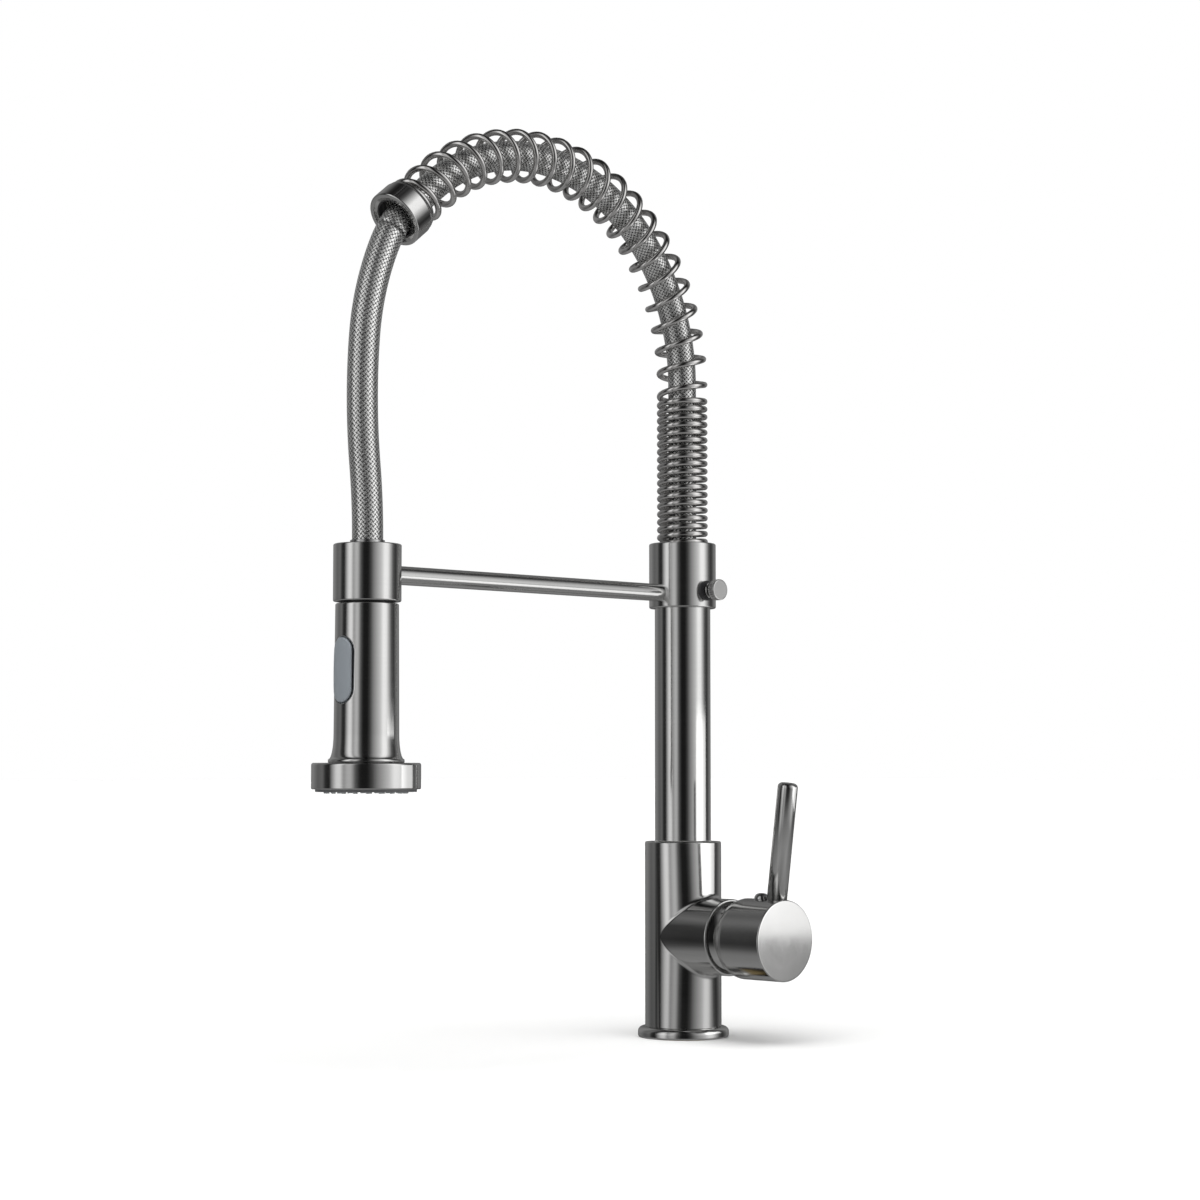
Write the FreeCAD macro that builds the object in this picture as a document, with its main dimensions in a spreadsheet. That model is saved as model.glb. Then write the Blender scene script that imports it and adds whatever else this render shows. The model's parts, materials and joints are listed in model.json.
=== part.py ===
# Pull-down kitchen faucet with a spring-guided hose, in millimetres.
# Origin: centre of the column on the deck face. +Z up, -Y towards the spray head, +X to the lever side.
import FreeCAD, Part
import math
import os
import re

import Sketcher

os.makedirs("parts", exist_ok=True)
doc = FreeCAD.newDocument("pull_down_faucet")

# ---------------------------------------------------------------- driving dimensions
DIMENSIONS = {
    # running fits and gaps
    "running_gap": 0.05, "loose_gap": 0.3, "drill_past": 1,
    # deck fixing
    "deck_thickness": 30, "shank_wall": 2.5, "shank_bore_radius": 13.5, "shank_below_deck": 58,
    "shank_engagement": 9, "shank_chamfer": 0.9, "washer_radius": 25, "rubber_washer_thickness": 3,
    "steel_washer_thickness": 2.5, "nut_circumradius": 26.5, "nut_thickness": 13,
    "flange_overhang": 4, "flange_height": 5.7, "flange_edge_round": 2.6, "flange_bore_gap": 0.2,
    "gasket_inner_radius": 17, "gasket_inset": 2.5, "gasket_thickness": 2,
    # body casting
    "body_wall": 4, "body_over_housing": 0.25, "body_length": 101, "body_edge_round": 0.8,
    "inlet_radius": 4.5, "inlet_depth": 15,
    "inlet_setback": 4, "inlet_spread": 7.5, "channel_radius": 3.4, "channel_setback": 6, "outlet_radius": 4,
    "channel_overlap": 2, "channel_past_port": 3,
    # swivel socket at the top of the body, measured down from the body's top
    "bush_wall": 2, "socket_depth": 14.7, "nipple_flange_radius": 12, "nipple_flange_thickness": 6,
    "nipple_chamber_depth": 2, "nipple_chamber_radius": 10.8, "nipple_radius": 6, "nipple_bore_radius": 4,
    "nipple_length": 16, "nipple_ring_section": 0.65, "nipple_ring_drop": 6.8, "nipple_groove_half": 1.2,
    "screw_radius": 2, "screw_drop": 7.7, "screw_sink": 0.6, "screw_end_gap": 0.4,
    "screw_hex_circumradius": 1.15, "screw_hex_depth": 2,
    # riser
    "journal_radius": 15, "journal_groove_depth": 1.4, "journal_groove_width": 4.8, "riser_step": 0.4,
    "riser_wall": 2.9, "riser_length": 128.4, "riser_in_collar": 15.6, "journal_reach": 13.7,
    # valve, along +X from the column's axis
    "valve_drop": 51.2, "housing_wall": 2.25, "housing_end": 36.8, "housing_edge_round": 0.9,
    "casting_blend": 3, "cartridge_radius": 17.4, "cartridge_gap": 0.1, "cartridge_seat": -1,
    "thread_step": 1.1,
    "thread_start": 22, "port_radius": 3, "inlet_port_drop": 7.5, "outlet_port_rise": 9.5,
    "seal_thickness": 1.5, "seal_inset": 0.4, "cartridge_base_thickness": 4, "fixed_disc_thickness": 4,
    "disc_travel_room": 4, "moving_disc_thickness": 4.45, "disc_slot_floor": 0.75, "disc_slot_play": 0.3,
    "shell_wall": 2.35, "shell_shoulder": 22, "shell_nose_step": 2.5, "shell_end": 27, "shell_lip": 25,
    "shell_lip_width": 2.5, "rotor_inset": 1.9, "rotor_start": 13.1, "pivot_x": 21, "pivot_radius": 1.5,
    "pivot_half_length": 11, "stem_radius": 4, "stem_shoulder": 16, "stem_neck_radius": 1.3,
    "ball_x": 11.4, "ball_radius": 1.9, "stem_end": 63.9, "rotor_slot_half": 6.8,
    "nut_nose_gap": 0.1, "nut_end": 33.8, "dome_radius": 23.6, "dome_wall": 1.2, "dome_opening_radius": 10.6,
    "dome_rim_gap": 0.1,
    # handle
    "hub_radius": 21.65, "hub_start": 43.4, "hub_end": 75.9, "hub_rear_step": 1.75, "hub_shoulder": 47.5,
    "hub_rear_bulge": 0.3, "hub_bulge_shift": 0.6, "hub_wall": 2.2, "hub_cavity_end": 54,
    "hub_boss_wall": 4, "hub_boss_start": 49, "hub_face_crown": 0.35, "hub_face_round": 0.7,
    "grip_screw_x": 59, "grip_screw_radius": 2.5, "grip_screw_length": 8, "plug_radius": 4, "plug_sink": 0.45,
    "plug_side": 1.6, "plug_rise": 3.2, "plug_flat_radius": 2.2, "plug_crown": 0.38, "plug_shank_length": 6,
    "lever_radius": 5.4, "lever_inset": 5.9, "lever_lean": 7.8, "lever_length": 62.5, "lever_socket": 8,
    "lever_end_round": 2.2,
    # collar, arm and docking sleeve
    "collar_wall": 3.1, "collar_length": 35.9, "collar_edge_round": 0.7, "seat_thickness": 2,
    "seat_hose_gap": 2.25, "seat_gap": 0.1, "arm_radius": 4.75, "arm_rise": 8, "arm_in_collar": 2.5,
    "arm_end_gap": 0.8, "thumb_rise": 9.1, "thumb_stud_radius": 3, "bezel_radius": 5.5, "bezel_depth": 1.6,
    "bezel_length": 2.5, "bezel_to_neck": 2.1, "thumb_neck_radius": 4.2, "thumb_neck_length": 3.5,
    "thumb_head_radius": 5.75, "thumb_head_length": 4.2, "thumb_edge_round": 0.6,
    "reach": 222.8, "sleeve_wall": 1.95, "liner_wall": 1.95, "sleeve_length": 28.6,
    "sleeve_below_arm": 14.1, "sleeve_lid": 1.5, "lid_hose_gap": 2.45, "sleeve_edge_round": 0.7,
    "liner_inset": 0.5,
    # spring and hose arch, in the plane x = 0
    "spring_wire_radius": 1.65, "coil_hose_gap": 3.1, "tight_pitch": 4.36, "tight_rise": 102,
    "open_turns": 20.65, "end_turns": 2, "arch_rise": 109.2, "drop_setback": 41.4, "arch_angle": 130,
    "arch_tail": 16.8, "turn_outside": 3.5, "hose_radius": 7.75, "hose_wall": 3.25, "exit_bend_radius": 58.7,
    "exit_bend_angle": 25.1, "drop_bend_radius": 145.6, "drop_bend_angle": 20.25, "hose_straight": 1,
    "end_collar_length": 13.2, "end_collar_wall": 0.8, "end_collar_spring_depth": 5.5,
    "end_lip_step": 1.7, "end_collar_lip_depth": 0.8, "bush_hose_gap": 2.55, "end_bush_wall": 0.9,
    "end_rear_step": 0.5, "end_rear_length": 2.2,
    # hose fittings
    "fitting_wall": 4, "fitting_lift": 2, "fitting_cup_depth": 15, "fitting_web": 3, "tail_length": 14,
    "tail_wall": 0.6, "ferrule_wall": 0.9, "ferrule_gap": 0.1, "lower_ferrule_length": 14,
    "upper_ferrule_length": 16, "upper_ferrule_below_neck": 12,
    # spray head, below the sleeve
    "head_gap": 1, "head_length": 78.8, "head_over_neck": 2.75, "head_taper": 0.45, "head_wall": 1.8,
    "flare_start": 15, "flare_waist": 6.5, "flare_waist_step": 1, "flare_step": 2.7,
    "flare_foot": 1.6, "neck_radius": 13, "neck_gap": 0.1, "neck_rise": 27.6, "neck_bore_depth": 18,
    "core_radius": 9.5, "core_bore_radius": 3.5, "core_shoulder": 6, "core_foot_gap": 0.8,
    "core_foot_length": 9, "neck_ring_section": 1, "neck_ring_drop": 14, "check_valve_radius": 6,
    "check_valve_length": 7, "check_valve_bore_radius": 2.5,
    "bell_radius": 27.1, "bell_height": 13, "bell_wall": 2, "bell_top": 2.5, "bell_bore_gap": 0.1,
    "bell_edge_round": 1.2, "plate_drop": 1.3, "plate_thickness": 4.5, "aerator_radius": 8,
    "aerator_drop": 0.6, "nozzle_radius": 0.9, "nozzle_rise": 0.8, "outer_nozzle_inset": 5.1,
    "nozzle_ring_spacing": 6.5, "inner_nozzle_count": 12, "outer_nozzle_count": 20, "spreader_gap": 0.5,
    "spreader_bore_radius": 6,
    # mode rocker on the spray head
    "rocker_drop": 33.2, "rocker_half_width": 6.7, "rocker_length": 32, "rocker_gap": 0.4,
    "rocker_proud": 0.7, "rocker_thickness": 2.3, "rocker_pin_depth": 4.5, "rocker_pin_radius": 1,
    "rocker_pin_half_length": 5.6, "rocker_lug_half": 3, "rocker_lug_height": 4, "rocker_lug_into_face": 0.5,
    "ear_gap": 0.2, "ear_width": 2.2, "ear_height": 6, "ear_in_core": 2.7, "ear_past_pin": 1.3,
    "finger_bite": 3, "finger_half": 1, "finger_side_gap": 0.3, "finger_gap": 0.2,
    "spool_sink": 0.3, "spool_half": 2.9, "spool_half_length": 5, "spool_travel": 0.8, "spool_depth": 4,
}

# ---------------------------------------------------------------- levels, as formulas of the sheet
BODY_TOP = "(flange_height + body_length)"
SOCKET_FLOOR = f"({BODY_TOP} - socket_depth)"
NIPPLE_SEAT = f"({SOCKET_FLOOR} - nipple_flange_thickness)"
NIPPLE_TOP = f"({SOCKET_FLOOR} + nipple_length)"
NIPPLE_RING = f"({NIPPLE_TOP} - nipple_ring_drop)"
SCREW_LEVEL = f"({BODY_TOP} - screw_drop)"
RISER_START = f"({BODY_TOP} + loose_gap)"
COLLAR_BOTTOM = f"({RISER_START} + riser_length)"
RISER_TOP = f"({COLLAR_BOTTOM} + riser_in_collar)"
COLLAR_TOP = f"({COLLAR_BOTTOM} + collar_length)"
ARM_LEVEL = f"({COLLAR_BOTTOM} + arm_rise)"
THUMB_LEVEL = f"({COLLAR_BOTTOM} + thumb_rise)"
SLEEVE_BOTTOM = f"({ARM_LEVEL} - sleeve_below_arm)"
SLEEVE_TOP = f"({SLEEVE_BOTTOM} + sleeve_length)"
HEAD_TOP = f"({SLEEVE_BOTTOM} - head_gap)"
HEAD_BOTTOM = f"({HEAD_TOP} - head_length)"
NECK_TOP = f"({HEAD_TOP} + neck_rise)"
BELL_BOTTOM = f"({HEAD_BOTTOM} - bell_height)"
PLATE_BOTTOM = f"({BELL_BOTTOM} - plate_drop)"
FITTING_BOTTOM = f"({SOCKET_FLOOR} + fitting_lift)"
FITTING_WEB = f"({FITTING_BOTTOM} + fitting_cup_depth)"
HOSE_START = f"({FITTING_WEB} + fitting_web + drill_past)"
HEAD_AXIS = ("0", "-reach", "0")
VALVE_AXIS = ("0", "0", "valve_height")

# ---------------------------------------------------------------- sizes that follow from their neighbours
FOLLOWING = {
    # column: each radius is the one inside it plus a wall or a step
    "shank_radius": "shank_bore_radius + shank_wall",
    "socket_radius": "journal_radius + bush_wall",
        "riser_radius": "journal_radius + riser_step",
    "riser_bore_radius": "riser_radius - riser_wall",
    "collar_radius": "riser_radius + collar_wall",
    # valve: everything is built round the cartridge
    "valve_height": f"{BODY_TOP} - valve_drop",
    "cartridge_bore_radius": "cartridge_radius + cartridge_gap",
    "thread_radius": "cartridge_radius + thread_step",
    "housing_radius": "thread_radius + housing_wall",
    "body_radius": "max(socket_radius + body_wall; housing_radius + body_over_housing)",
    "flange_radius": "body_radius + flange_overhang",
    "gasket_outer_radius": "flange_radius - gasket_inset",
    "shell_bore_radius": "cartridge_radius - shell_wall",
    "fixed_disc_radius": "shell_bore_radius - running_gap",
    "moving_disc_radius": "fixed_disc_radius - disc_travel_room",
    "shell_nose_radius": "cartridge_radius - shell_nose_step",
    "nut_nose_radius": "shell_nose_radius + nut_nose_gap",
    "rotor_radius": "shell_nose_radius - rotor_inset",
    "shell_lip_radius": "rotor_radius - shell_lip_width",
    # handle
    "hub_rear_radius": "hub_radius - hub_rear_step",
    "hub_boss_radius": "stem_radius + hub_boss_wall",
    "plug_seat": "hub_radius - plug_sink",
    "lever_x": "hub_end - lever_inset",
    # thumbscrew, outwards from the collar's face
    "bezel_start": "collar_radius - bezel_depth",
    "bezel_end": "bezel_start + bezel_length",
    "thumb_stud_end": "bezel_end + bezel_to_neck",
    "thumb_neck_end": "thumb_stud_end + thumb_neck_length",
    "thumb_head_end": "thumb_neck_end + thumb_head_length",
    # hose, and all that it passes through
    "hose_bore_radius": "hose_radius - hose_wall",
    "fitting_radius": "nipple_radius + fitting_wall",
    "spring_coil_radius": "hose_radius + coil_hose_gap + spring_wire_radius",
    "spring_bore_radius": "spring_coil_radius + spring_wire_radius + loose_gap",
    "seat_bore_radius": "hose_radius + seat_hose_gap",
    "arch_height": f"{RISER_TOP} + arch_rise",
    "tight_top": f"{RISER_TOP} + tight_rise",
    "arch_radius": "(reach - drop_setback) / (1 - cos(arch_angle * 1deg))",
    "end_collar_radius": "spring_bore_radius + end_collar_wall",
    "end_bush_radius": "hose_radius + bush_hose_gap",
    "end_collar_bore_radius": "end_bush_radius + end_bush_wall",
    "end_collar_lip_radius": "end_collar_bore_radius + end_lip_step",
    "sleeve_lid_radius": "hose_radius + lid_hose_gap",
    "neck_bore_radius": "hose_radius + ferrule_wall + ferrule_gap",
    # spray head: built outwards from its neck
    "liner_bore_radius": "neck_radius + running_gap",
    "sleeve_bore_radius": "liner_bore_radius + liner_wall",
    "sleeve_radius": "sleeve_bore_radius + sleeve_wall",
    "head_top_radius": "neck_radius + head_over_neck",
    "head_low_radius": "head_top_radius + head_taper",
    "flare_waist_radius": "head_low_radius + flare_waist_step",
    "flare_radius": "head_low_radius + flare_step",
    "core_foot_radius": "head_low_radius - head_wall - core_foot_gap",
    "bell_bore_radius": "flare_waist_radius - head_wall + bell_bore_gap",
    "outer_nozzle_ring": "bell_radius - bell_wall - outer_nozzle_inset",
    "inner_nozzle_ring": "outer_nozzle_ring - nozzle_ring_spacing",
    "spreader_radius": "bell_radius - bell_wall - spreader_gap",
    # mode rocker
    "rocker_height": f"{HEAD_TOP} - rocker_drop",
    "rocker_pin_setback": "head_low_radius - rocker_pin_depth",
    "spool_front": "core_radius - spool_sink",
    "spool_back": "spool_front - spool_depth",
    "finger_reach": "spool_front - finger_bite",
}

sheet = doc.addObject("Spreadsheet::Sheet", "dims")
for row, (alias, number) in enumerate(DIMENSIONS.items(), start=1):
    sheet.set(f"A{row}", alias)
    sheet.set(f"B{row}", str(number))
    sheet.setAlias(f"B{row}", alias)
doc.recompute()
for row, (alias, formula) in enumerate(FOLLOWING.items(), start=len(DIMENSIONS) + 1):
    sheet.set(f"A{row}", alias)
    sheet.set(f"B{row}", f"={formula}")
    sheet.setAlias(f"B{row}", alias)
    doc.recompute()
ALIASES = [*DIMENSIONS, *FOLLOWING]
size = {alias: float(sheet.get(alias)) for alias in ALIASES}

TURN_TO = {
    "Z": FreeCAD.Rotation(),
    "X": FreeCAD.Rotation(FreeCAD.Vector(0, 1, 0), 90),
    "Y": FreeCAD.Rotation(FreeCAD.Vector(1, 0, 0), -90),
    "-Y": FreeCAD.Rotation(FreeCAD.Vector(1, 0, 0), 90),
}
ALIAS = re.compile(r"[a-z]\w*")
nodes = []


def bind(thing, slot, formula):
    """Ties a property to a formula of the sheet's aliases."""
    def cell(word):
        return f"dims.{word.group(0)}" if word.group(0) in ALIASES else word.group(0)

    thing.setExpression(slot, ALIAS.sub(cell, formula))


def place(thing, at, axis):
    """Turns a piece's own Z to the axis and ties its position to the sheet."""
    thing.Placement = FreeCAD.Placement(FreeCAD.Vector(), TURN_TO[axis])
    for letter, formula in zip("xyz", at):
        if formula != "0":
            bind(thing, f"Placement.Base.{letter}", formula)


def node(thing, label):
    """Marks a finished sub-part; its Label names the file."""
    thing.Label = label
    nodes.append(thing)
    return thing


def turned(label, outline, rounds=(), at=("0", "0", "0"), axis="Z"):
    """A Body revolved about its own Z. outline is (radius, height) formulas; rounds is (corner, radius)."""
    body = doc.addObject("PartDesign::Body", label + "_turning")
    sketch = body.newObject("Sketcher::SketchObject", label + "_outline")
    plane = [feature for feature in body.Origin.OriginFeatures if feature.Role == "XZ_Plane"][0]
    sketch.AttachmentSupport = [(plane, "")]
    sketch.MapMode = "FlatFace"
    count = len(outline)
    start = [
        FreeCAD.Vector(40 + 20 * math.cos(2 * math.pi * k / count), 20 * math.sin(2 * math.pi * k / count), 0)
        for k in range(count)
    ]
    for corner in range(count):
        sketch.addGeometry(Part.LineSegment(start[corner], start[(corner + 1) % count]))
    for corner in range(count):
        sketch.addConstraint(Sketcher.Constraint("Coincident", corner, 2, (corner + 1) % count, 1))
    for corner, point in enumerate(outline):
        for direction, formula in zip(("DistanceX", "DistanceY"), point):
            index = sketch.addConstraint(Sketcher.Constraint(direction, -1, 1, corner, 1, 1.0))
            bind(sketch, f"Constraints[{index}]", formula)
    feature = body.newObject("PartDesign::Revolution", label + "_revolution")
    feature.Profile = sketch
    feature.ReferenceAxis = (sketch, ["V_Axis"])
    feature.Angle = 360
    doc.recompute()
    for corner, radius in rounds:
        spot = sketch.getPoint(corner, 1)
        edges = [
            f"Edge{k}"
            for k, edge in enumerate(feature.Shape.Edges, start=1)
            if isinstance(edge.Curve, Part.Circle)
            and abs(edge.Curve.Radius - spot.x) < 1e-5
            and abs(edge.Curve.Center.z - spot.y) < 1e-5
        ]
        fillet = body.newObject("PartDesign::Fillet", f"{label}_round{corner}")
        fillet.Base = (feature, edges)
        bind(fillet, "Radius", radius)
        doc.recompute()
        feature = fillet
    place(body, at, axis)
    return body


def cylinder(label, radius, length, at=("0", "0", "0"), axis="Z"):
    """A plain round bar from at along the axis."""
    bar = doc.addObject("Part::Cylinder", label)
    bind(bar, "Radius", radius)
    bind(bar, "Height", length)
    place(bar, at, axis)
    return bar


def block(label, sizes, at):
    """A box whose lowest corner is at."""
    box = doc.addObject("Part::Box", label)
    for slot, formula in zip(("Length", "Width", "Height"), sizes):
        bind(box, slot, formula)
    place(box, at, "Z")
    return box


def joined(label, *pieces):
    """One solid from pieces that meet."""
    union = doc.addObject("Part::MultiFuse", label)
    union.Shapes = list(pieces)
    return union


def cut(label, blank, *tools):
    """A blank with every tool taken away."""
    result = doc.addObject("Part::Cut", label)
    result.Base = blank
    result.Tool = tools[0] if len(tools) == 1 else joined(label + "_tools", *tools)
    return result


def group(label, pieces):
    """Separate solids kept as one node."""
    compound = doc.addObject("Part::Compound", label)
    compound.Links = pieces
    return compound


def ring(label, inner, outer, low, high, at=("0", "0", "0"), axis="Z", rounds=()):
    """A plain turned ring."""
    outline = [(inner, low), (outer, low), (outer, high), (inner, high)]
    return turned(label, outline, rounds, at, axis)


# ---------------------------------------------------------------- deck fixing
node(turned("base_flange", [
    ("shank_radius + flange_bore_gap", "gasket_thickness"), ("gasket_outer_radius", "gasket_thickness"),
    ("gasket_outer_radius", "0"), ("flange_radius", "0"), ("flange_radius", "flange_height"),
    ("shank_radius + flange_bore_gap", "flange_height"),
], rounds=[(4, "flange_edge_round"), (3, "flange_edge_round / 2")]), "base_flange")
node(ring("deck_gasket", "gasket_inner_radius", "gasket_outer_radius", "0", "gasket_thickness"), "deck_gasket")
node(ring(
    "mounting_shank", "shank_bore_radius", "shank_radius", "-shank_below_deck",
    "flange_height + shank_engagement", rounds=[(1, "shank_chamfer")],
), "mounting_shank")
WASHER_BORE = "shank_radius + loose_gap"
RUBBER_BOTTOM = "(-deck_thickness - rubber_washer_thickness)"
STEEL_BOTTOM = f"({RUBBER_BOTTOM} - steel_washer_thickness)"
node(ring("rubber_washer", WASHER_BORE, "washer_radius", RUBBER_BOTTOM, "-deck_thickness"), "rubber_washer")
node(ring("steel_washer", WASHER_BORE, "washer_radius", STEEL_BOTTOM, RUBBER_BOTTOM), "steel_washer")
nut_blank = doc.addObject("Part::Prism", "nut_blank")
nut_blank.Polygon = 6
bind(nut_blank, "Circumradius", "nut_circumradius")
bind(nut_blank, "Height", "nut_thickness")
place(nut_blank, ("0", "0", f"{STEEL_BOTTOM} - nut_thickness"), "Z")
nut_bore = cylinder(
    "nut_bore", "shank_radius", "nut_thickness + 2 * drill_past",
    ("0", "0", f"{STEEL_BOTTOM} - nut_thickness - drill_past"),
)
node(cut("lock_nut_cut", nut_blank, nut_bore), "lock_nut")

# ---------------------------------------------------------------- body casting with its valve housing
body_blank = ring(
    "body_blank", "0", "body_radius", "flange_height", BODY_TOP,
    rounds=[(2, "body_edge_round"), (1, "body_edge_round / 2")],
)
housing_blank = ring(
    "housing_blank", "0", "housing_radius", "0", "housing_end", VALVE_AXIS, "X",
    rounds=[(2, "housing_edge_round")],
)
casting = joined("casting", body_blank, housing_blank)
doc.recompute()


def crossing_edges(shape):
    """Numbers of the two saddle-shaped edges where the housing leaves the body."""
    least = size["housing_radius"] / 2
    boxes = [edge.BoundBox for edge in shape.Edges]
    return [k for k, box in enumerate(boxes, start=1) if min(box.XLength, box.YLength, box.ZLength) > least]


blended = doc.addObject("Part::Fillet", "blended_casting")
blended.Base = casting
blended.Edges = [(k, size["casting_blend"], size["casting_blend"]) for k in crossing_edges(casting.Shape)]
CHANNEL_START = "(flange_height + shank_engagement + inlet_depth - channel_overlap)"
OUTLET_START = "(valve_height + outlet_port_rise - channel_radius)"
waterways = [
    cylinder("shank_socket", "shank_radius", "shank_engagement + drill_past",
             ("0", "0", "flange_height - drill_past")),
    cylinder("nipple_chamber", "nipple_chamber_radius", "nipple_chamber_depth + drill_past",
             ("0", "0", f"{NIPPLE_SEAT} - nipple_chamber_depth")),
    cylinder("nipple_seat", "nipple_flange_radius", "nipple_flange_thickness + drill_past",
             ("0", "0", NIPPLE_SEAT)),
    cylinder("swivel_socket", "socket_radius", "socket_depth + drill_past", ("0", "0", SOCKET_FLOOR)),
    cylinder("cartridge_bore", "cartridge_bore_radius", "housing_end - cartridge_seat + drill_past",
             ("cartridge_seat", "0", "valve_height"), "X"),
    cylinder("cartridge_thread", "thread_radius", "housing_end - thread_start + drill_past",
             ("thread_start", "0", "valve_height"), "X"),
    cylinder("outlet_riser", "outlet_radius",
             f"{NIPPLE_SEAT} - nipple_chamber_depth + drill_past - {OUTLET_START}",
             ("-channel_setback", "0", OUTLET_START)),
    cylinder("outlet_port", "port_radius", "channel_setback + cartridge_seat + drill_past",
             ("-channel_setback", "0", "valve_height + outlet_port_rise"), "X"),
    cylinder("screw_hole", "screw_radius", "body_radius", ("0", "journal_radius - drill_past", SCREW_LEVEL),
             "Y"),
]
for side, spread in (("left", "inlet_spread"), ("right", "-inlet_spread")):
    waterways += [
        cylinder(f"{side}_inlet", "inlet_radius", "inlet_depth + drill_past",
                 ("-inlet_setback", spread, "flange_height + shank_engagement - drill_past")),
        cylinder(f"{side}_channel", "channel_radius",
                 f"valve_height - inlet_port_drop + channel_past_port - {CHANNEL_START}",
                 ("-channel_setback", spread, CHANNEL_START)),
        cylinder(f"{side}_port", "port_radius", "channel_setback + cartridge_seat + drill_past",
                 ("-channel_setback", spread, "valve_height - inlet_port_drop"), "X"),
    ]
node(cut("body_cut", blended, *waterways), "faucet_body")

# ---------------------------------------------------------------- outlet nipple, swivel bush, retaining screw
node(turned("outlet_nipple", [
    ("nipple_bore_radius", NIPPLE_SEAT), ("nipple_flange_radius", NIPPLE_SEAT),
    ("nipple_flange_radius", SOCKET_FLOOR), ("nipple_radius", SOCKET_FLOOR),
    ("nipple_radius", f"{NIPPLE_RING} - nipple_groove_half"),
    ("nipple_radius - 2 * nipple_ring_section", f"{NIPPLE_RING} - nipple_groove_half"),
    ("nipple_radius - 2 * nipple_ring_section", f"{NIPPLE_RING} + nipple_groove_half"),
    ("nipple_radius", f"{NIPPLE_RING} + nipple_groove_half"),
    ("nipple_radius", NIPPLE_TOP), ("nipple_bore_radius", NIPPLE_TOP),
]), "outlet_nipple")
nipple_ring = doc.addObject("Part::Torus", "nipple_ring")
bind(nipple_ring, "Radius1", "nipple_radius - nipple_ring_section")
bind(nipple_ring, "Radius2", "nipple_ring_section")
place(nipple_ring, ("0", "0", NIPPLE_RING), "Z")
node(nipple_ring, "nipple_o_ring")
bush_blank = ring(
    "bush_blank", "journal_radius + running_gap", "socket_radius", SOCKET_FLOOR, f"{BODY_TOP} - loose_gap",
)
bush_hole = cylinder("bush_hole", "screw_radius", "socket_radius", ("0", "screw_radius", SCREW_LEVEL), "Y")
node(cut("bush_cut", bush_blank, bush_hole), "swivel_bush")
screw_blank = cylinder(
    "screw_blank", "screw_radius",
    "body_radius - screw_sink - journal_radius + journal_groove_depth - screw_end_gap",
    ("0", "journal_radius - journal_groove_depth + screw_end_gap", SCREW_LEVEL), "Y",
)
screw_hex = doc.addObject("Part::Prism", "screw_hex")
screw_hex.Polygon = 6
bind(screw_hex, "Circumradius", "screw_hex_circumradius")
bind(screw_hex, "Height", "screw_hex_depth + drill_past")
place(screw_hex, ("0", "body_radius - screw_sink - screw_hex_depth", SCREW_LEVEL), "Y")
node(cut("screw_cut", screw_blank, screw_hex), "retaining_screw")

# ---------------------------------------------------------------- ceramic cartridge, along +X
SEAL_END = "(cartridge_seat + seal_thickness)"
BASE_END = f"({SEAL_END} + cartridge_base_thickness)"
FIXED_END = f"({BASE_END} + fixed_disc_thickness)"
MOVING_START = f"({FIXED_END} + running_gap)"
MOVING_END = f"({MOVING_START} + moving_disc_thickness)"


def ported(label, radius, low, high):
    """A disc across the valve axis with the two inlet ports and the outlet port through it."""
    blank = ring(label + "_blank", "0", radius, low, high, VALVE_AXIS, "X")
    ports = [
        cylinder(f"{label}_port{k}", "port_radius", f"{high} - {low} + 2 * drill_past",
                 (f"{low} - drill_past", across, f"valve_height {rise}"), "X")
        for k, (across, rise) in enumerate((
            ("inlet_spread", "- inlet_port_drop"),
            ("-inlet_spread", "- inlet_port_drop"),
            ("0", "+ outlet_port_rise"),
        ))
    ]
    return cut(label + "_cut", blank, *ports)


node(ported("seal", "cartridge_radius - seal_inset", "cartridge_seat", SEAL_END), "port_seal")
node(ported("base", "cartridge_radius", SEAL_END, BASE_END), "cartridge_base")
node(ported("fixed_disc", "fixed_disc_radius", BASE_END, FIXED_END), "fixed_ceramic_disc")
moving_blank = ring("moving_blank", "0", "moving_disc_radius", MOVING_START, MOVING_END, VALVE_AXIS, "X")
moving_slot = block(
    "moving_slot", ("moving_disc_thickness", "2 * (ball_radius + running_gap)",
                    "2 * (ball_radius + disc_slot_play)"),
    (f"{MOVING_END} - moving_disc_thickness + disc_slot_floor", "-ball_radius - running_gap",
     "valve_height - ball_radius - disc_slot_play"),
)
node(cut("moving_cut", moving_blank, moving_slot), "moving_ceramic_disc")
node(turned("cartridge_shell", [
    ("shell_bore_radius", BASE_END), ("cartridge_radius", BASE_END), ("cartridge_radius", "shell_shoulder"),
    ("shell_nose_radius", "shell_shoulder"), ("shell_nose_radius", "shell_end"),
    ("shell_lip_radius", "shell_end"), ("shell_lip_radius", "shell_lip"),
    ("rotor_radius + running_gap", "shell_lip"), ("rotor_radius + running_gap", "rotor_start - running_gap"),
    ("shell_bore_radius", "rotor_start - running_gap"),
], at=VALVE_AXIS, axis="X"), "cartridge_shell")
rotor_blank = ring(
    "rotor_blank", "0", "rotor_radius", "rotor_start", "shell_lip - running_gap", VALVE_AXIS, "X",
)
rotor_slot = block(
    "rotor_slot", ("shell_lip - rotor_start + 2 * drill_past", "2 * (stem_radius + running_gap)",
                   "2 * rotor_slot_half"),
    ("rotor_start - drill_past", "-stem_radius - running_gap", "valve_height - rotor_slot_half"),
)
PIN_END = ("pivot_x", "-pivot_half_length", "valve_height")
rotor_pin_hole = cylinder("rotor_pin_hole", "pivot_radius", "2 * pivot_half_length", PIN_END, "Y")
node(cut("rotor_cut", rotor_blank, rotor_slot, rotor_pin_hole), "cartridge_rotor")
node(cylinder("pivot_pin_bar", "pivot_radius", "2 * pivot_half_length", PIN_END, "Y"), "pivot_pin")
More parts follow.
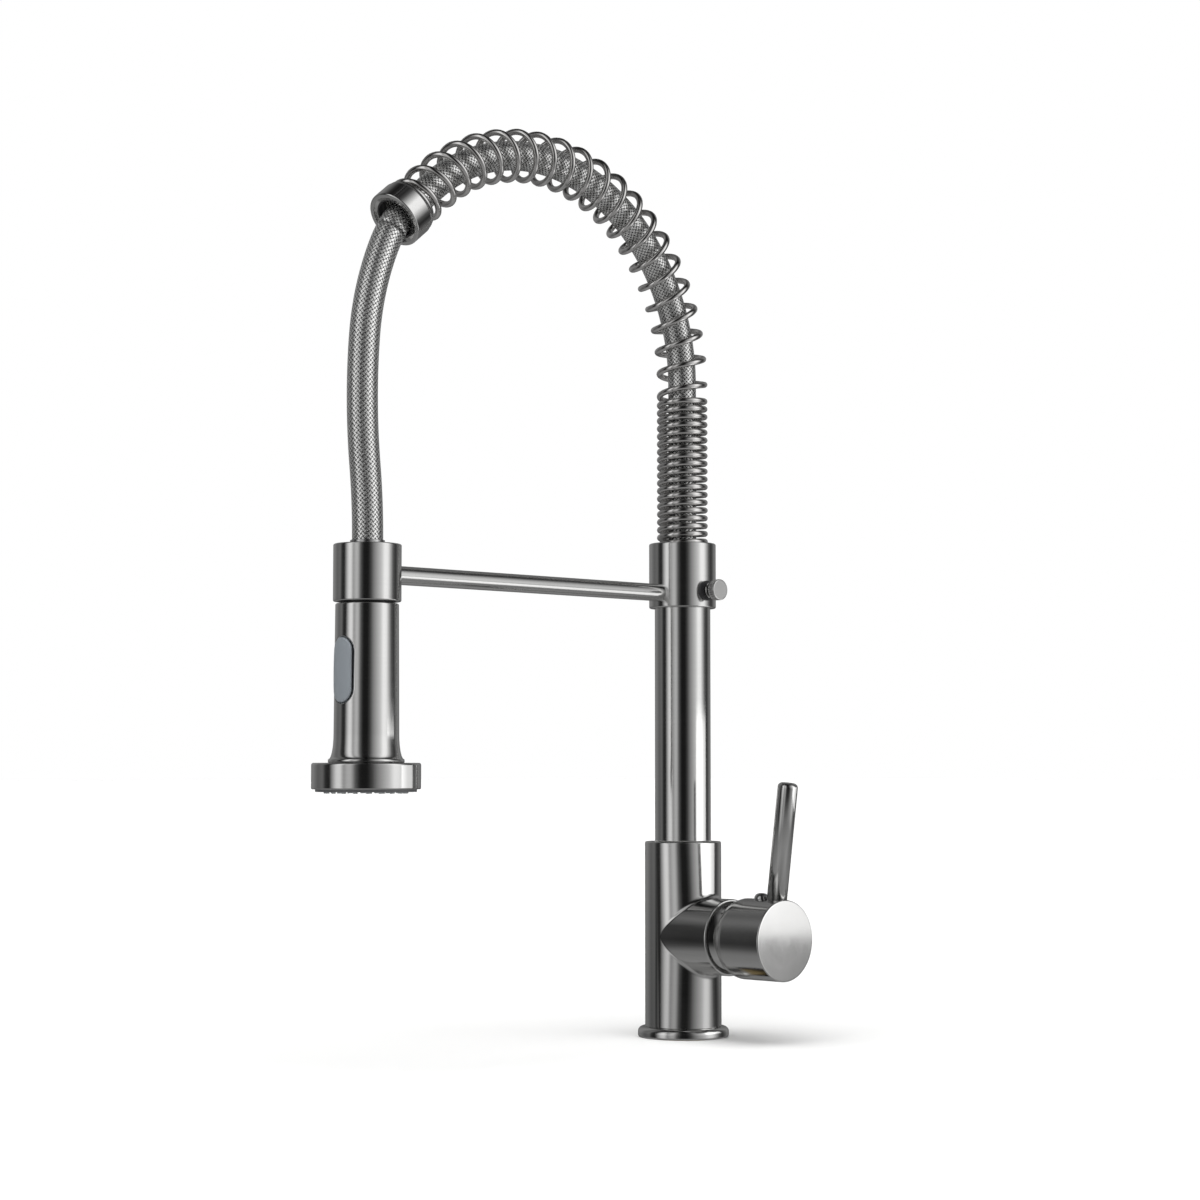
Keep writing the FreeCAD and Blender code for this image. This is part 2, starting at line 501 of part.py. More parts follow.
node(turned("cartridge_nut", [
    ("nut_nose_radius", "shell_shoulder"), ("thread_radius", "shell_shoulder"), ("thread_radius", "nut_end"),
    ("nut_nose_radius", "nut_end"),
], at=VALVE_AXIS, axis="X"), "cartridge_nut")


def ball(label, radius, at):
    """A sphere centred at a point."""
    sphere = doc.addObject("Part::Sphere", label)
    bind(sphere, "Radius", radius)
    place(sphere, at, "Z")
    return sphere


PIVOT = ("pivot_x", "0", "valve_height")
dome_outer = ball("dome_outer", "dome_radius", PIVOT)
dome_inner = ball("dome_inner", "dome_radius - dome_wall", PIVOT)
dome_shell = cut("dome_shell", dome_outer, dome_inner)
dome_band = ring(
    "dome_band", "dome_opening_radius", "thread_radius - dome_rim_gap", "nut_end", "housing_end + dome_radius",
    VALVE_AXIS, "X",
)
dome = doc.addObject("Part::Common", "dome_common")
dome.Base = dome_shell
dome.Tool = dome_band
node(dome, "cartridge_dome")

# ---------------------------------------------------------------- handle: stem, hub, lever, grub screw, plug
stem_bar = turned("stem_bar", [
    ("0", "ball_x"), ("stem_neck_radius", "ball_x"), ("stem_neck_radius", "stem_shoulder"),
    ("stem_radius", "stem_shoulder"), ("stem_radius", "stem_end"), ("0", "stem_end"),
], at=VALVE_AXIS, axis="X")
stem_blank = joined("stem_blank", stem_bar, ball("stem_ball", "ball_radius", ("ball_x", "0", "valve_height")))
stem_hole = cylinder(
    "stem_hole", "pivot_radius + running_gap", "2 * stem_radius + 2 * drill_past",
    ("pivot_x", "-stem_radius - drill_past", "valve_height"), "Y",
)
node(cut("stem_cut", stem_blank, stem_hole), "cartridge_stem")
hub_blank = turned("hub_blank", [
    ("hub_rear_radius - hub_wall", "hub_start"), ("hub_rear_radius", "hub_start"),
    ("hub_radius - hub_rear_bulge", "(hub_start + hub_shoulder) / 2 + hub_bulge_shift"),
    ("hub_radius", "hub_shoulder"),
    ("hub_radius", "hub_end"), ("0", "hub_end + hub_face_crown"), ("0", "stem_end"),
    ("stem_radius", "stem_end"),
    ("stem_radius", "hub_boss_start"), ("hub_boss_radius", "hub_boss_start"),
    ("hub_boss_radius", "hub_cavity_end"), ("hub_radius - hub_wall", "hub_cavity_end"),
    ("hub_radius - hub_wall", "hub_shoulder"),
], rounds=[(4, "hub_face_round")], at=VALVE_AXIS, axis="X")
SCREW_FOOT = "valve_height + stem_radius"
grip_hole = cylinder("grip_hole", "grip_screw_radius", "hub_radius", ("grip_screw_x", "0", SCREW_FOOT))
plug_seat = cylinder(
    "plug_seat", "plug_radius", "hub_radius", ("grip_screw_x", "0", "valve_height + plug_seat"),
)
lever_turn = FreeCAD.Rotation(FreeCAD.Vector(0, 1, 0), size["lever_lean"])
LEVER_FOOT = ("lever_x - lever_socket * sin(lever_lean * 1deg)", "0",
              "valve_height + hub_radius - lever_socket * cos(lever_lean * 1deg)")
lever_hole = cylinder("lever_hole", "lever_radius", "lever_socket + lever_length", LEVER_FOOT)
lever_hole.Placement.Rotation = lever_turn
node(cut("hub_cut", hub_blank, grip_hole, plug_seat, lever_hole), "handle_hub")
lever = ring(
    "lever", "0", "lever_radius", "0", "lever_socket + lever_length", LEVER_FOOT, "Z",
    rounds=[(2, "lever_end_round")],
)
lever.Placement.Rotation = lever_turn
node(lever, "lever_rod")
node(cylinder(
    "grip_screw_bar", "grip_screw_radius", "grip_screw_length", ("grip_screw_x", "0", SCREW_FOOT),
), "hub_set_screw")
PLUG_AT = ("grip_screw_x", "0", "valve_height")
node(turned("plug", [
    ("0", "plug_seat - plug_shank_length"), ("grip_screw_radius", "plug_seat - plug_shank_length"),
    ("grip_screw_radius", "plug_seat"), ("plug_radius", "plug_seat"),
    ("plug_radius", "plug_seat + plug_side"), ("plug_flat_radius", "plug_seat + plug_rise"),
    ("0", "plug_seat + plug_rise + plug_crown"),
], at=PLUG_AT), "indicator_plug")

# ---------------------------------------------------------------- riser, collar, arm and docking sleeve
GROOVE_LOW = f"{SCREW_LEVEL} - journal_groove_width / 2"
GROOVE_HIGH = f"{SCREW_LEVEL} + journal_groove_width / 2"
JOURNAL_FOOT = f"{BODY_TOP} - journal_reach"
node(turned("riser", [
    ("riser_bore_radius", JOURNAL_FOOT), ("journal_radius", JOURNAL_FOOT), ("journal_radius", GROOVE_LOW),
    ("journal_radius - journal_groove_depth", GROOVE_LOW),
    ("journal_radius - journal_groove_depth", GROOVE_HIGH), ("journal_radius", GROOVE_HIGH),
    ("journal_radius", RISER_START), ("riser_radius", RISER_START), ("riser_radius", RISER_TOP),
    ("riser_bore_radius", RISER_TOP),
]), "riser_tube")
collar_blank = turned("collar_blank", [
    ("riser_radius", COLLAR_BOTTOM), ("collar_radius", COLLAR_BOTTOM), ("collar_radius", COLLAR_TOP),
    ("spring_bore_radius", COLLAR_TOP), ("spring_bore_radius", RISER_TOP), ("riser_radius", RISER_TOP),
], rounds=[(1, "collar_edge_round"), (2, "collar_edge_round")])
ARM_START = "(collar_radius - arm_in_collar)"
ARM_END = "(reach - sleeve_bore_radius - arm_end_gap)"
ARM_AT = ("0", f"-{ARM_START}", ARM_LEVEL)
arm_bar = cylinder("arm_bar", "arm_radius", f"{ARM_END} - {ARM_START}", ARM_AT, "-Y")
thumb_hole = cylinder(
    "thumb_hole", "thumb_stud_radius + running_gap", "collar_radius",
    ("riser_radius - drill_past", "0", THUMB_LEVEL), "X",
)
bezel_seat = cylinder("bezel_seat", "bezel_radius", "collar_radius", ("bezel_start", "0", THUMB_LEVEL), "X")
node(cut("collar_cut", collar_blank, arm_bar, thumb_hole, bezel_seat), "top_collar")
node(arm_bar, "docking_arm")
sleeve_blank = turned("sleeve_blank", [
    ("sleeve_bore_radius", SLEEVE_BOTTOM), ("sleeve_radius", SLEEVE_BOTTOM), ("sleeve_radius", SLEEVE_TOP),
    ("sleeve_lid_radius", SLEEVE_TOP), ("sleeve_lid_radius", f"{SLEEVE_TOP} - sleeve_lid"),
    ("sleeve_bore_radius", f"{SLEEVE_TOP} - sleeve_lid"),
], rounds=[(1, "sleeve_edge_round"), (2, "sleeve_edge_round")], at=HEAD_AXIS)
node(cut("sleeve_cut", sleeve_blank, arm_bar), "docking_sleeve")
node(ring(
    "sleeve_liner", "liner_bore_radius", "sleeve_bore_radius", f"{SLEEVE_BOTTOM} + liner_inset",
    f"{SLEEVE_TOP} - sleeve_lid", HEAD_AXIS,
), "sleeve_liner")
THUMB_AXIS = ("0", "0", THUMB_LEVEL)
node(ring(
    "thumb_bezel", "thumb_stud_radius + running_gap", "bezel_radius", "bezel_start", "bezel_end",
    THUMB_AXIS, "X",
), "thumbscrew_bezel")
node(turned("thumbscrew", [
    ("0", "riser_radius + running_gap"), ("thumb_stud_radius", "riser_radius + running_gap"),
    ("thumb_stud_radius", "thumb_stud_end"), ("thumb_neck_radius", "thumb_stud_end"),
    ("thumb_neck_radius", "thumb_neck_end"), ("thumb_head_radius", "thumb_neck_end"),
    ("thumb_head_radius", "thumb_head_end"), ("0", "thumb_head_end"),
], rounds=[(6, "thumb_edge_round")], at=THUMB_AXIS, axis="X"), "thumbscrew")
node(ring(
    "spring_seat_ring", "seat_bore_radius", "spring_bore_radius - seat_gap", RISER_TOP,
    f"{RISER_TOP} + seat_thickness",
), "spring_seat")

# ---------------------------------------------------------------- levels the arch needs as numbers
doc.recompute()


def level(label, top):
    """The height of a finished piece's top or bottom, so that the arch starts and ends on it."""
    box = doc.getObjectsByLabel(label)[0].Shape.BoundBox
    return box.ZMax if top else box.ZMin


# The centreline is straight up the riser, round the arch and straight on into the end collar.
ARCH_TURN = math.radians(size["arch_angle"])
ARCH_LENGTH = size["arch_radius"] * ARCH_TURN
TAIL_DIRECTION = FreeCAD.Vector(0, -math.sin(ARCH_TURN), math.cos(ARCH_TURN))


def arch_point(run):
    """Centreline point and outward normal at a distance along the spring, 0 at the deck."""
    rise = size["arch_height"]
    if run <= rise:
        return FreeCAD.Vector(0, 0, run), FreeCAD.Vector(0, 1, 0)
    turn = min((run - rise) / size["arch_radius"], ARCH_TURN)
    outward = FreeCAD.Vector(0, math.cos(turn), math.sin(turn))
    centre = FreeCAD.Vector(0, -size["arch_radius"], rise)
    past = max(run - rise - ARCH_LENGTH, 0)
    return centre + outward * size["arch_radius"] + TAIL_DIRECTION * past, outward


def tube_along(path, radius):
    """A round solid swept along a wire of tangent lines and arcs."""
    start = path.Edges[0]
    profile = Part.Wire(Part.Circle(start.valueAt(start.FirstParameter),
                                    start.tangentAt(start.FirstParameter), radius).toShape())
    return path.makePipeShell([profile], True, False)


def shaped(label, shape):
    """A node whose shape is worked out in code."""
    feature = doc.addObject("Part::Feature", label + "_shape")
    feature.Shape = shape
    return node(feature, label)


# ---------------------------------------------------------------- support spring: tight coils, then open coils
POINTS_PER_TURN = 8
RUN_SHARE = 0.45
CLOSE_WOUND = 1.05
HALF_STEP = math.pi / POINTS_PER_TURN
# A corner's arc passes inside it; this puts the rounded polygon back on the coil's radius.
CORNER_CUT = 2 * RUN_SHARE * math.cos(HALF_STEP) * (1 / math.cos(HALF_STEP) - 1)
CORNER_LIFT = 1 / (1 - CORNER_CUT)


def rounded_path(points):
    """Runs joined by tangent arcs that take RUN_SHARE of the shorter run; starts and ends in mid-run."""
    edges = []
    last = (points[0] + points[1]) * 0.5
    for before, corner, after in zip(points, points[1:], points[2:]):
        back = (before - corner)
        ahead = (after - corner)
        trim = RUN_SHARE * min(back.Length, ahead.Length)
        back = back.normalize()
        ahead = ahead.normalize()
        half_open = back.getAngle(ahead) / 2
        radius = trim * math.tan(half_open)
        bisector = (back + ahead).normalize()
        middle = corner + bisector * (radius / math.sin(half_open) - radius)
        enter = corner + back * trim
        leave = corner + ahead * trim
        edges.append(Part.LineSegment(last, enter).toShape())
        edges.append(Part.Arc(enter, middle, leave).toShape())
        last = leave
    edges.append(Part.LineSegment(last, (points[-2] + points[-1]) * 0.5).toShape())
    return Part.Wire(edges)


def spring_points():
    """Corners of the coil: a right-handed helix carried along the arch, with its pitch set by zone."""
    start = level("spring_seat", True) + size["spring_wire_radius"]
    arch_end = size["arch_height"] + ARCH_LENGTH + size["arch_tail"]
    close_pitch = 2 * size["spring_wire_radius"] * CLOSE_WOUND
    stop = arch_end + size["end_turns"] * close_pitch
    open_pitch = (arch_end - size["tight_top"]) / size["open_turns"]
    points = []
    run, angle = start, 0.0
    step = 2 * math.pi / POINTS_PER_TURN
    while run < stop:
        centre, outward = arch_point(run)
        side = FreeCAD.Vector(1, 0, 0)
        coil = size["spring_coil_radius"] * CORNER_LIFT
        points.append(centre + side * (coil * math.cos(angle)) + outward * (coil * math.sin(angle)))
        pitch = size["tight_pitch"] if run < size["tight_top"] else open_pitch
        pitch = close_pitch if run >= arch_end else pitch
        run += pitch / POINTS_PER_TURN
        angle += step
    return points


shaped("support_spring", tube_along(rounded_path(spring_points()), size["spring_wire_radius"]))

# ---------------------------------------------------------------- end collar on the spring's last coils
COLLAR_REAR = size["arch_height"] + ARCH_LENGTH + size["arch_tail"] + size["turn_outside"]
end_collar = turned("end_collar", [
    ("spring_bore_radius", "0"), ("end_collar_radius - end_rear_step", "0"),
    ("end_collar_radius - end_rear_step", "end_rear_length"), ("end_collar_radius", "end_rear_length"),
    ("end_collar_radius", "end_collar_length"), ("end_collar_lip_radius", "end_collar_length"),
    ("end_collar_lip_radius", "end_collar_length - end_collar_lip_depth"),
    ("end_collar_bore_radius", "end_collar_length - end_collar_lip_depth"),
    ("end_collar_bore_radius", "end_collar_spring_depth"), ("spring_bore_radius", "end_collar_spring_depth"),
], rounds=[(4, "collar_edge_round")])
end_bush = ring(
    "end_bush", "end_bush_radius", "end_collar_bore_radius", "end_collar_spring_depth + running_gap",
    "end_collar_length - end_collar_lip_depth - loose_gap", rounds=[(3, "loose_gap")],
)
for piece, label in ((end_collar, "end_collar"), (end_bush, "end_bush")):
    piece.Placement = FreeCAD.Placement(
        arch_point(COLLAR_REAR)[0], FreeCAD.Rotation(FreeCAD.Vector(0, 0, 1), TAIL_DIRECTION),
    )
    node(piece, label)

# ---------------------------------------------------------------- spray hose, fitting and ferrules
node(turned("hose_fitting", [
    ("nipple_radius + running_gap", FITTING_BOTTOM), ("fitting_radius", FITTING_BOTTOM),
    ("fitting_radius", f"{FITTING_WEB} + fitting_web"), ("hose_bore_radius", f"{FITTING_WEB} + fitting_web"),
    ("hose_bore_radius", f"{FITTING_WEB} + fitting_web + tail_length"),
    ("hose_bore_radius - tail_wall", f"{FITTING_WEB} + fitting_web + tail_length"),
    ("hose_bore_radius - tail_wall", FITTING_WEB), ("nipple_radius + running_gap", FITTING_WEB),
]), "hose_fitting")
node(ring(
    "lower_ferrule", "hose_radius", "hose_radius + ferrule_wall", HOSE_START,
    f"{HOSE_START} + lower_ferrule_length",
), "lower_ferrule")
FERRULE_LOW = f"({NECK_TOP} - upper_ferrule_below_neck)"
node(ring(
    "upper_ferrule", "hose_radius", "hose_radius + ferrule_wall", FERRULE_LOW,
    f"{FERRULE_LOW} + upper_ferrule_length", HEAD_AXIS, rounds=[(2, "loose_gap"), (1, "loose_gap")],
), "upper_ferrule")
doc.recompute()


def bend(point, down, radius, turn):
    """An arc in the plane x = 0 from a slope below the horizontal; radius and turn below 0 bend it back."""
    def at(slope):
        along = math.sin(slope) - math.sin(down)
        drop = math.cos(down) - math.cos(slope)
        return FreeCAD.Vector(0, point.y - radius * along, point.z - radius * drop)

    end = at(down + turn)
    return Part.Arc(point, at(down + turn / 2), end).toShape(), end


def hose_path():
    """Up the riser, round the arch, out of the end collar, and down with a slight belly to the head."""
    foot = FreeCAD.Vector(0, 0, level("lower_ferrule", False))
    spring_line = FreeCAD.Vector(0, 0, size["arch_height"])
    crown = arch_point(size["arch_height"] + ARCH_LENGTH / 2)[0]
    arch_end = arch_point(size["arch_height"] + ARCH_LENGTH)[0]
    point = arch_end + TAIL_DIRECTION * (size["arch_tail"] + size["turn_outside"])
    edges = [
        Part.LineSegment(foot, spring_line).toShape(),
        Part.Arc(spring_line, crown, arch_end).toShape(),
        Part.LineSegment(arch_end, point).toShape(),
    ]
    down = ARCH_TURN - math.pi / 2
    for name in ("exit", "drop"):
        turn = math.radians(size[f"{name}_bend_angle"])
        arc, point = bend(point, down, size[f"{name}_bend_radius"], turn)
        edges.append(arc)
        down += turn
    # two arcs of one radius: one swings past straight down by the sway, one returns onto the head's axis
    drop = point.z - level("upper_ferrule", True) - size["hose_straight"]
    over = size["reach"] + point.y
    share = (drop * (1 + math.sin(down)) + over * math.cos(down)) / (2 * math.hypot(drop, over))
    sway = math.acos(share) - math.atan2(over, drop)
    radius = drop / (math.cos(down) + 2 * math.sin(sway))
    arc, point = bend(point, down, radius, math.pi / 2 + sway - down)
    edges.append(arc)
    arc, point = bend(point, math.pi / 2 + sway, -radius, -sway)
    edges.append(arc)
    edges.append(Part.LineSegment(point, FreeCAD.Vector(0, point.y, level("upper_ferrule", False))).toShape())
    print("hose sway", round(math.degrees(sway), 2), "radius", round(radius, 1), "axis", round(point.y, 2))
    return Part.Wire(edges)


hose_line = hose_path()
hose_outer = tube_along(hose_line, size["hose_radius"])
hose = hose_outer.cut(tube_along(hose_line, size["hose_bore_radius"]))
section = math.pi * (size["hose_radius"] ** 2 - size["hose_bore_radius"] ** 2)
print("hose length", round(hose_line.Length, 1), "volume over section x length",
      round(hose.Volume / (section * hose_line.Length), 4))
shaped("spray_hose", hose)

# ---------------------------------------------------------------- spray head shell and its inner waterway
FLARE_TOP = f"({HEAD_BOTTOM} + flare_start)"
FLARE_WAIST = f"({HEAD_BOTTOM} + flare_waist)"
FLARE_FOOT = f"({HEAD_BOTTOM} + flare_foot)"
head_blank = turned("head_blank", [
    ("neck_radius + neck_gap", HEAD_TOP), ("neck_radius + neck_gap", f"{HEAD_TOP} - head_wall"),
    ("head_top_radius - head_wall", f"{HEAD_TOP} - head_wall"), ("head_low_radius - head_wall", FLARE_TOP),
    ("flare_waist_radius - head_wall", FLARE_WAIST), ("flare_waist_radius - head_wall", HEAD_BOTTOM),
    ("flare_radius", HEAD_BOTTOM), ("flare_radius", FLARE_FOOT), ("flare_waist_radius", FLARE_WAIST),
    ("head_low_radius", FLARE_TOP), ("head_top_radius", HEAD_TOP),
], rounds=[(10, "sleeve_edge_round")], at=HEAD_AXIS)


def obround(label, half_width, length, low, depth):
    """An upright slot shape that runs along -Y, from low in front of the head's axis."""
    middle = ("0", f"-reach - {low}", f"rocker_height - ({length}) / 2 + ({half_width})")
    top = ("0", f"-reach - {low}", f"rocker_height + ({length}) / 2 - ({half_width})")
    centre = block(
        label + "_middle", (f"2 * ({half_width})", depth, f"({length}) - 2 * ({half_width})"),
        (f"-({half_width})", f"-reach - {low} - {depth}", f"rocker_height - ({length}) / 2 + ({half_width})"),
    )
    return joined(
        label, centre, cylinder(label + "_low", half_width, depth, middle, "-Y"),
        cylinder(label + "_top", half_width, depth, top, "-Y"),
    )


window = obround("window", "rocker_half_width + rocker_gap", "rocker_length + 2 * rocker_gap",
                 "rocker_pin_setback", "head_low_radius")
node(cut("head_cut", head_blank, window), "head_shell")
CORE_SHOULDER = f"({HEAD_TOP} - core_shoulder)"
CORE_FOOT = f"({HEAD_BOTTOM} + core_foot_length)"
NECK_BORE_FLOOR = f"({NECK_TOP} - neck_bore_depth)"
VALVE_FLOOR = f"({NECK_BORE_FLOOR} - check_valve_length - running_gap)"
RING_LEVEL = f"({NECK_TOP} - neck_ring_drop)"
core_blank = turned("core_blank", [
    ("core_bore_radius", HEAD_BOTTOM), ("core_foot_radius", HEAD_BOTTOM), ("core_foot_radius", CORE_FOOT),
    ("core_radius", CORE_FOOT), ("core_radius", CORE_SHOULDER), ("neck_radius", CORE_SHOULDER),
    ("neck_radius", f"{RING_LEVEL} - neck_ring_section"),
    ("neck_radius - 2 * neck_ring_section", f"{RING_LEVEL} - neck_ring_section"),
    ("neck_radius - 2 * neck_ring_section", f"{RING_LEVEL} + neck_ring_section"),
    ("neck_radius", f"{RING_LEVEL} + neck_ring_section"), ("neck_radius", NECK_TOP),
    ("neck_bore_radius", NECK_TOP), ("neck_bore_radius", NECK_BORE_FLOOR),
    ("check_valve_radius", NECK_BORE_FLOOR), ("check_valve_radius", VALVE_FLOOR),
    ("core_bore_radius", VALVE_FLOOR),
], at=HEAD_AXIS)
SPOOL_ROOM = "(spool_half_length + spool_travel)"
spool_pocket = block(
    "spool_pocket", ("2 * (spool_half + running_gap)", "core_radius", f"2 * {SPOOL_ROOM}"),
    ("-spool_half - running_gap", "-reach - spool_back - core_radius", f"rocker_height - {SPOOL_ROOM}"),
)
EAR_START = "(rocker_lug_half + ear_gap)"


def ear(label, side):
    """One of the two ears that stand on the waterway and hold the rocker's pin."""
    low = EAR_START if side > 0 else f"-{EAR_START} - ear_width"
    return block(
        label, ("ear_width", "ear_past_pin + rocker_pin_setback - core_radius + ear_in_core", "ear_height"),
        (low, "-reach - rocker_pin_setback - ear_past_pin", "rocker_height - ear_height / 2"),
    )


pin_bar = cylinder(
    "pin_bar", "rocker_pin_radius", "2 * rocker_pin_half_length",
    ("-rocker_pin_half_length", "-reach - rocker_pin_setback", "rocker_height"), "X",
)
core_with_ears = joined("core_with_ears", core_blank, ear("right_ear", 1), ear("left_ear", -1))
node(cut("core_cut", core_with_ears, spool_pocket, pin_bar), "waterway_core")
node(pin_bar, "rocker_pin")
neck_ring = doc.addObject("Part::Torus", "neck_ring")
bind(neck_ring, "Radius1", "neck_radius - neck_ring_section")
bind(neck_ring, "Radius2", "neck_ring_section")
place(neck_ring, ("0", "-reach", RING_LEVEL), "Z")
node(neck_ring, "neck_o_ring")
node(ring(
    "check_valve", "check_valve_bore_radius", "check_valve_radius", f"{NECK_BORE_FLOOR} - check_valve_length",
    NECK_BORE_FLOOR, HEAD_AXIS,
), "check_valve")

# ---------------------------------------------------------------- mode rocker and the spool it shifts
rocker_plan = obround("rocker_plan", "rocker_half_width", "rocker_length",
                      "rocker_pin_setback", "head_low_radius")
rocker_curve = ring(
    "rocker_curve", "head_low_radius + rocker_proud - rocker_thickness", "head_low_radius + rocker_proud",
    "rocker_height - rocker_length", "rocker_height + rocker_length", HEAD_AXIS,
)
rocker_face = doc.addObject("Part::Common", "rocker_face")
rocker_face.Base = rocker_plan
rocker_face.Tool = rocker_curve
rocker_lug = block(
    "rocker_lug", ("2 * rocker_lug_half", "rocker_pin_depth + rocker_pin_radius", "rocker_lug_height"),
    ("-rocker_lug_half", "-reach - head_low_radius + rocker_lug_into_face",
     "rocker_height - rocker_lug_height / 2"),
)
rocker_finger = block(
    "rocker_finger", ("2 * finger_half", "rocker_pin_setback - finger_reach", "2 * finger_half"),
    ("-finger_half", "-reach - rocker_pin_setback", "rocker_height - finger_half"),
)
rocker_hole = cylinder(
    "rocker_hole", "rocker_pin_radius + running_gap", "4 * rocker_lug_half",
    ("-2 * rocker_lug_half", "-reach - rocker_pin_setback", "rocker_height"), "X",
)
rocker_blank = joined("rocker_blank", rocker_face, rocker_lug, rocker_finger)
node(cut("rocker_cut", rocker_blank, rocker_hole), "mode_button")
spool_blank = block(
    "spool_blank", ("2 * spool_half", "spool_front - spool_back", "2 * spool_half_length"),
    ("-spool_half", "-reach - spool_front", "rocker_height - spool_half_length"),
)
spool_slot = block(
    "spool_slot", ("2 * (finger_half + finger_side_gap)", "finger_bite + drill_past + finger_side_gap",
                   "2 * (finger_half + finger_gap)"),
    ("-finger_half - finger_side_gap", "-reach - spool_front - drill_past",
     "rocker_height - finger_half - finger_gap"),
)
node(cut("spool_cut", spool_blank, spool_slot), "diverter_spool")

# ---------------------------------------------------------------- bell, spray plate, nozzles and aerator
BELL_TOP_INNER = f"({HEAD_BOTTOM} - bell_top)"
node(turned("bell", [
    ("bell_bore_radius", BELL_TOP_INNER), ("bell_radius - bell_wall", BELL_TOP_INNER),
    ("bell_radius - bell_wall", BELL_BOTTOM), ("bell_radius", BELL_BOTTOM), ("bell_radius", HEAD_BOTTOM),
    ("bell_bore_radius", HEAD_BOTTOM),
], rounds=[(4, "bell_edge_round"), (3, "sleeve_edge_round")], at=HEAD_AXIS), "bell_ring")
PLATE_TOP = f"({PLATE_BOTTOM} + plate_thickness)"
plate_blank = ring(
    "plate_blank", "aerator_radius", "bell_radius - bell_wall", PLATE_BOTTOM, PLATE_TOP, HEAD_AXIS,
)


def nozzle_ring(label, count, circle):
    """Nozzles evenly round a circle, each a small nub through the plate's face."""
    pieces = []
    for k in range(int(size[count])):
        turn = f"{k} * 360deg / {count}"
        spot = (f"{circle} * cos({turn})", f"-reach + {circle} * sin({turn})", f"{PLATE_BOTTOM} - nozzle_rise")
        pieces.append(cylinder(f"{label}{k}", "nozzle_radius", "2 * nozzle_rise", spot))
    return pieces


nozzles = nozzle_ring("inner_nozzle", "inner_nozzle_count", "inner_nozzle_ring")
nozzles += nozzle_ring("outer_nozzle", "outer_nozzle_count", "outer_nozzle_ring")
node(cut("plate_cut", plate_blank, *nozzles), "spray_plate")
node(group("nozzle_group", nozzles), "spray_nozzles")
node(ring(
    "aerator", "0", "aerator_radius", f"{PLATE_BOTTOM} + aerator_drop", PLATE_TOP, HEAD_AXIS,
), "aerator")
node(ring(
    "spreader", "spreader_bore_radius", "spreader_radius", PLATE_TOP, f"{BELL_TOP_INNER} - running_gap",
    HEAD_AXIS,
), "flow_spreader")

# ---------------------------------------------------------------- check and write
doc.recompute()
broken = [thing.Label for thing in doc.Objects if {"Invalid", "Error"} & set(thing.State)]
if broken:
    raise RuntimeError(f"failed objects: {broken}")
for thing in nodes:
    shape = thing.Shape
    if shape.isNull() or not shape.isValid() or not shape.Solids:
        raise RuntimeError(f"{thing.Label} has no valid solid")
for thing in nodes:
    thing.Shape.exportStep(f"parts/{thing.Label}.step")
print(len(nodes), "sub-parts written")
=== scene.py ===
import json
import math

import bmesh
import bpy
import numpy as np
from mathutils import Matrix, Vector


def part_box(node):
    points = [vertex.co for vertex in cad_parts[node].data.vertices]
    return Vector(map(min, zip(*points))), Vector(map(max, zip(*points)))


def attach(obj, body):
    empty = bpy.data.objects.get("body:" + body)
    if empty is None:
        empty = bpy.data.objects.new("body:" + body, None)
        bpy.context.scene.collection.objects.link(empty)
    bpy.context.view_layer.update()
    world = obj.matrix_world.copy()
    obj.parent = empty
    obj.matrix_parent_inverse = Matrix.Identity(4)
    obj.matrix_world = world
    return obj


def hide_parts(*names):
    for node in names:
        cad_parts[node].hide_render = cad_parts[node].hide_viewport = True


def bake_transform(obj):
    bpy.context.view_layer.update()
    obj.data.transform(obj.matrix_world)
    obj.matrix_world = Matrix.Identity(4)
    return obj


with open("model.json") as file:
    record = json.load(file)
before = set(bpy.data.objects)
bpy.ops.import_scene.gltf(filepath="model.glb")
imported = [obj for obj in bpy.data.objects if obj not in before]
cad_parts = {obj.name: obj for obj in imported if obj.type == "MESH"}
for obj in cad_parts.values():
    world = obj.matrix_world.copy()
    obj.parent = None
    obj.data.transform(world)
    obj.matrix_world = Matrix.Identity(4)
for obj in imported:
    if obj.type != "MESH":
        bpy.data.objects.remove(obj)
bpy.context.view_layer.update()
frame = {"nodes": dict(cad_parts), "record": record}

# ------------------------------------------------------------------------------------------------
# Camera: a long lens from the lever side, a little above the deck and tilted up slightly, as one
# stands back to see the whole spout. 78 mm on a 36 mm square sensor, about 1.45 m from the column.
VIEW_TURN = math.radians(46.4)
VIEW_TILT = math.radians(3.74)
camera_data = bpy.data.cameras.new("camera")
camera_data.lens = 78.0
camera_data.sensor_width = 36.0
camera = bpy.data.objects.new("camera", camera_data)
camera.location = (1.012, -1.027, 0.146)
camera.rotation_euler = (math.pi / 2 + VIEW_TILT, 0.0, VIEW_TURN)
bpy.context.scene.collection.objects.link(camera)
bpy.context.scene.camera = camera
bpy.context.scene.view_settings.view_transform = "Standard"

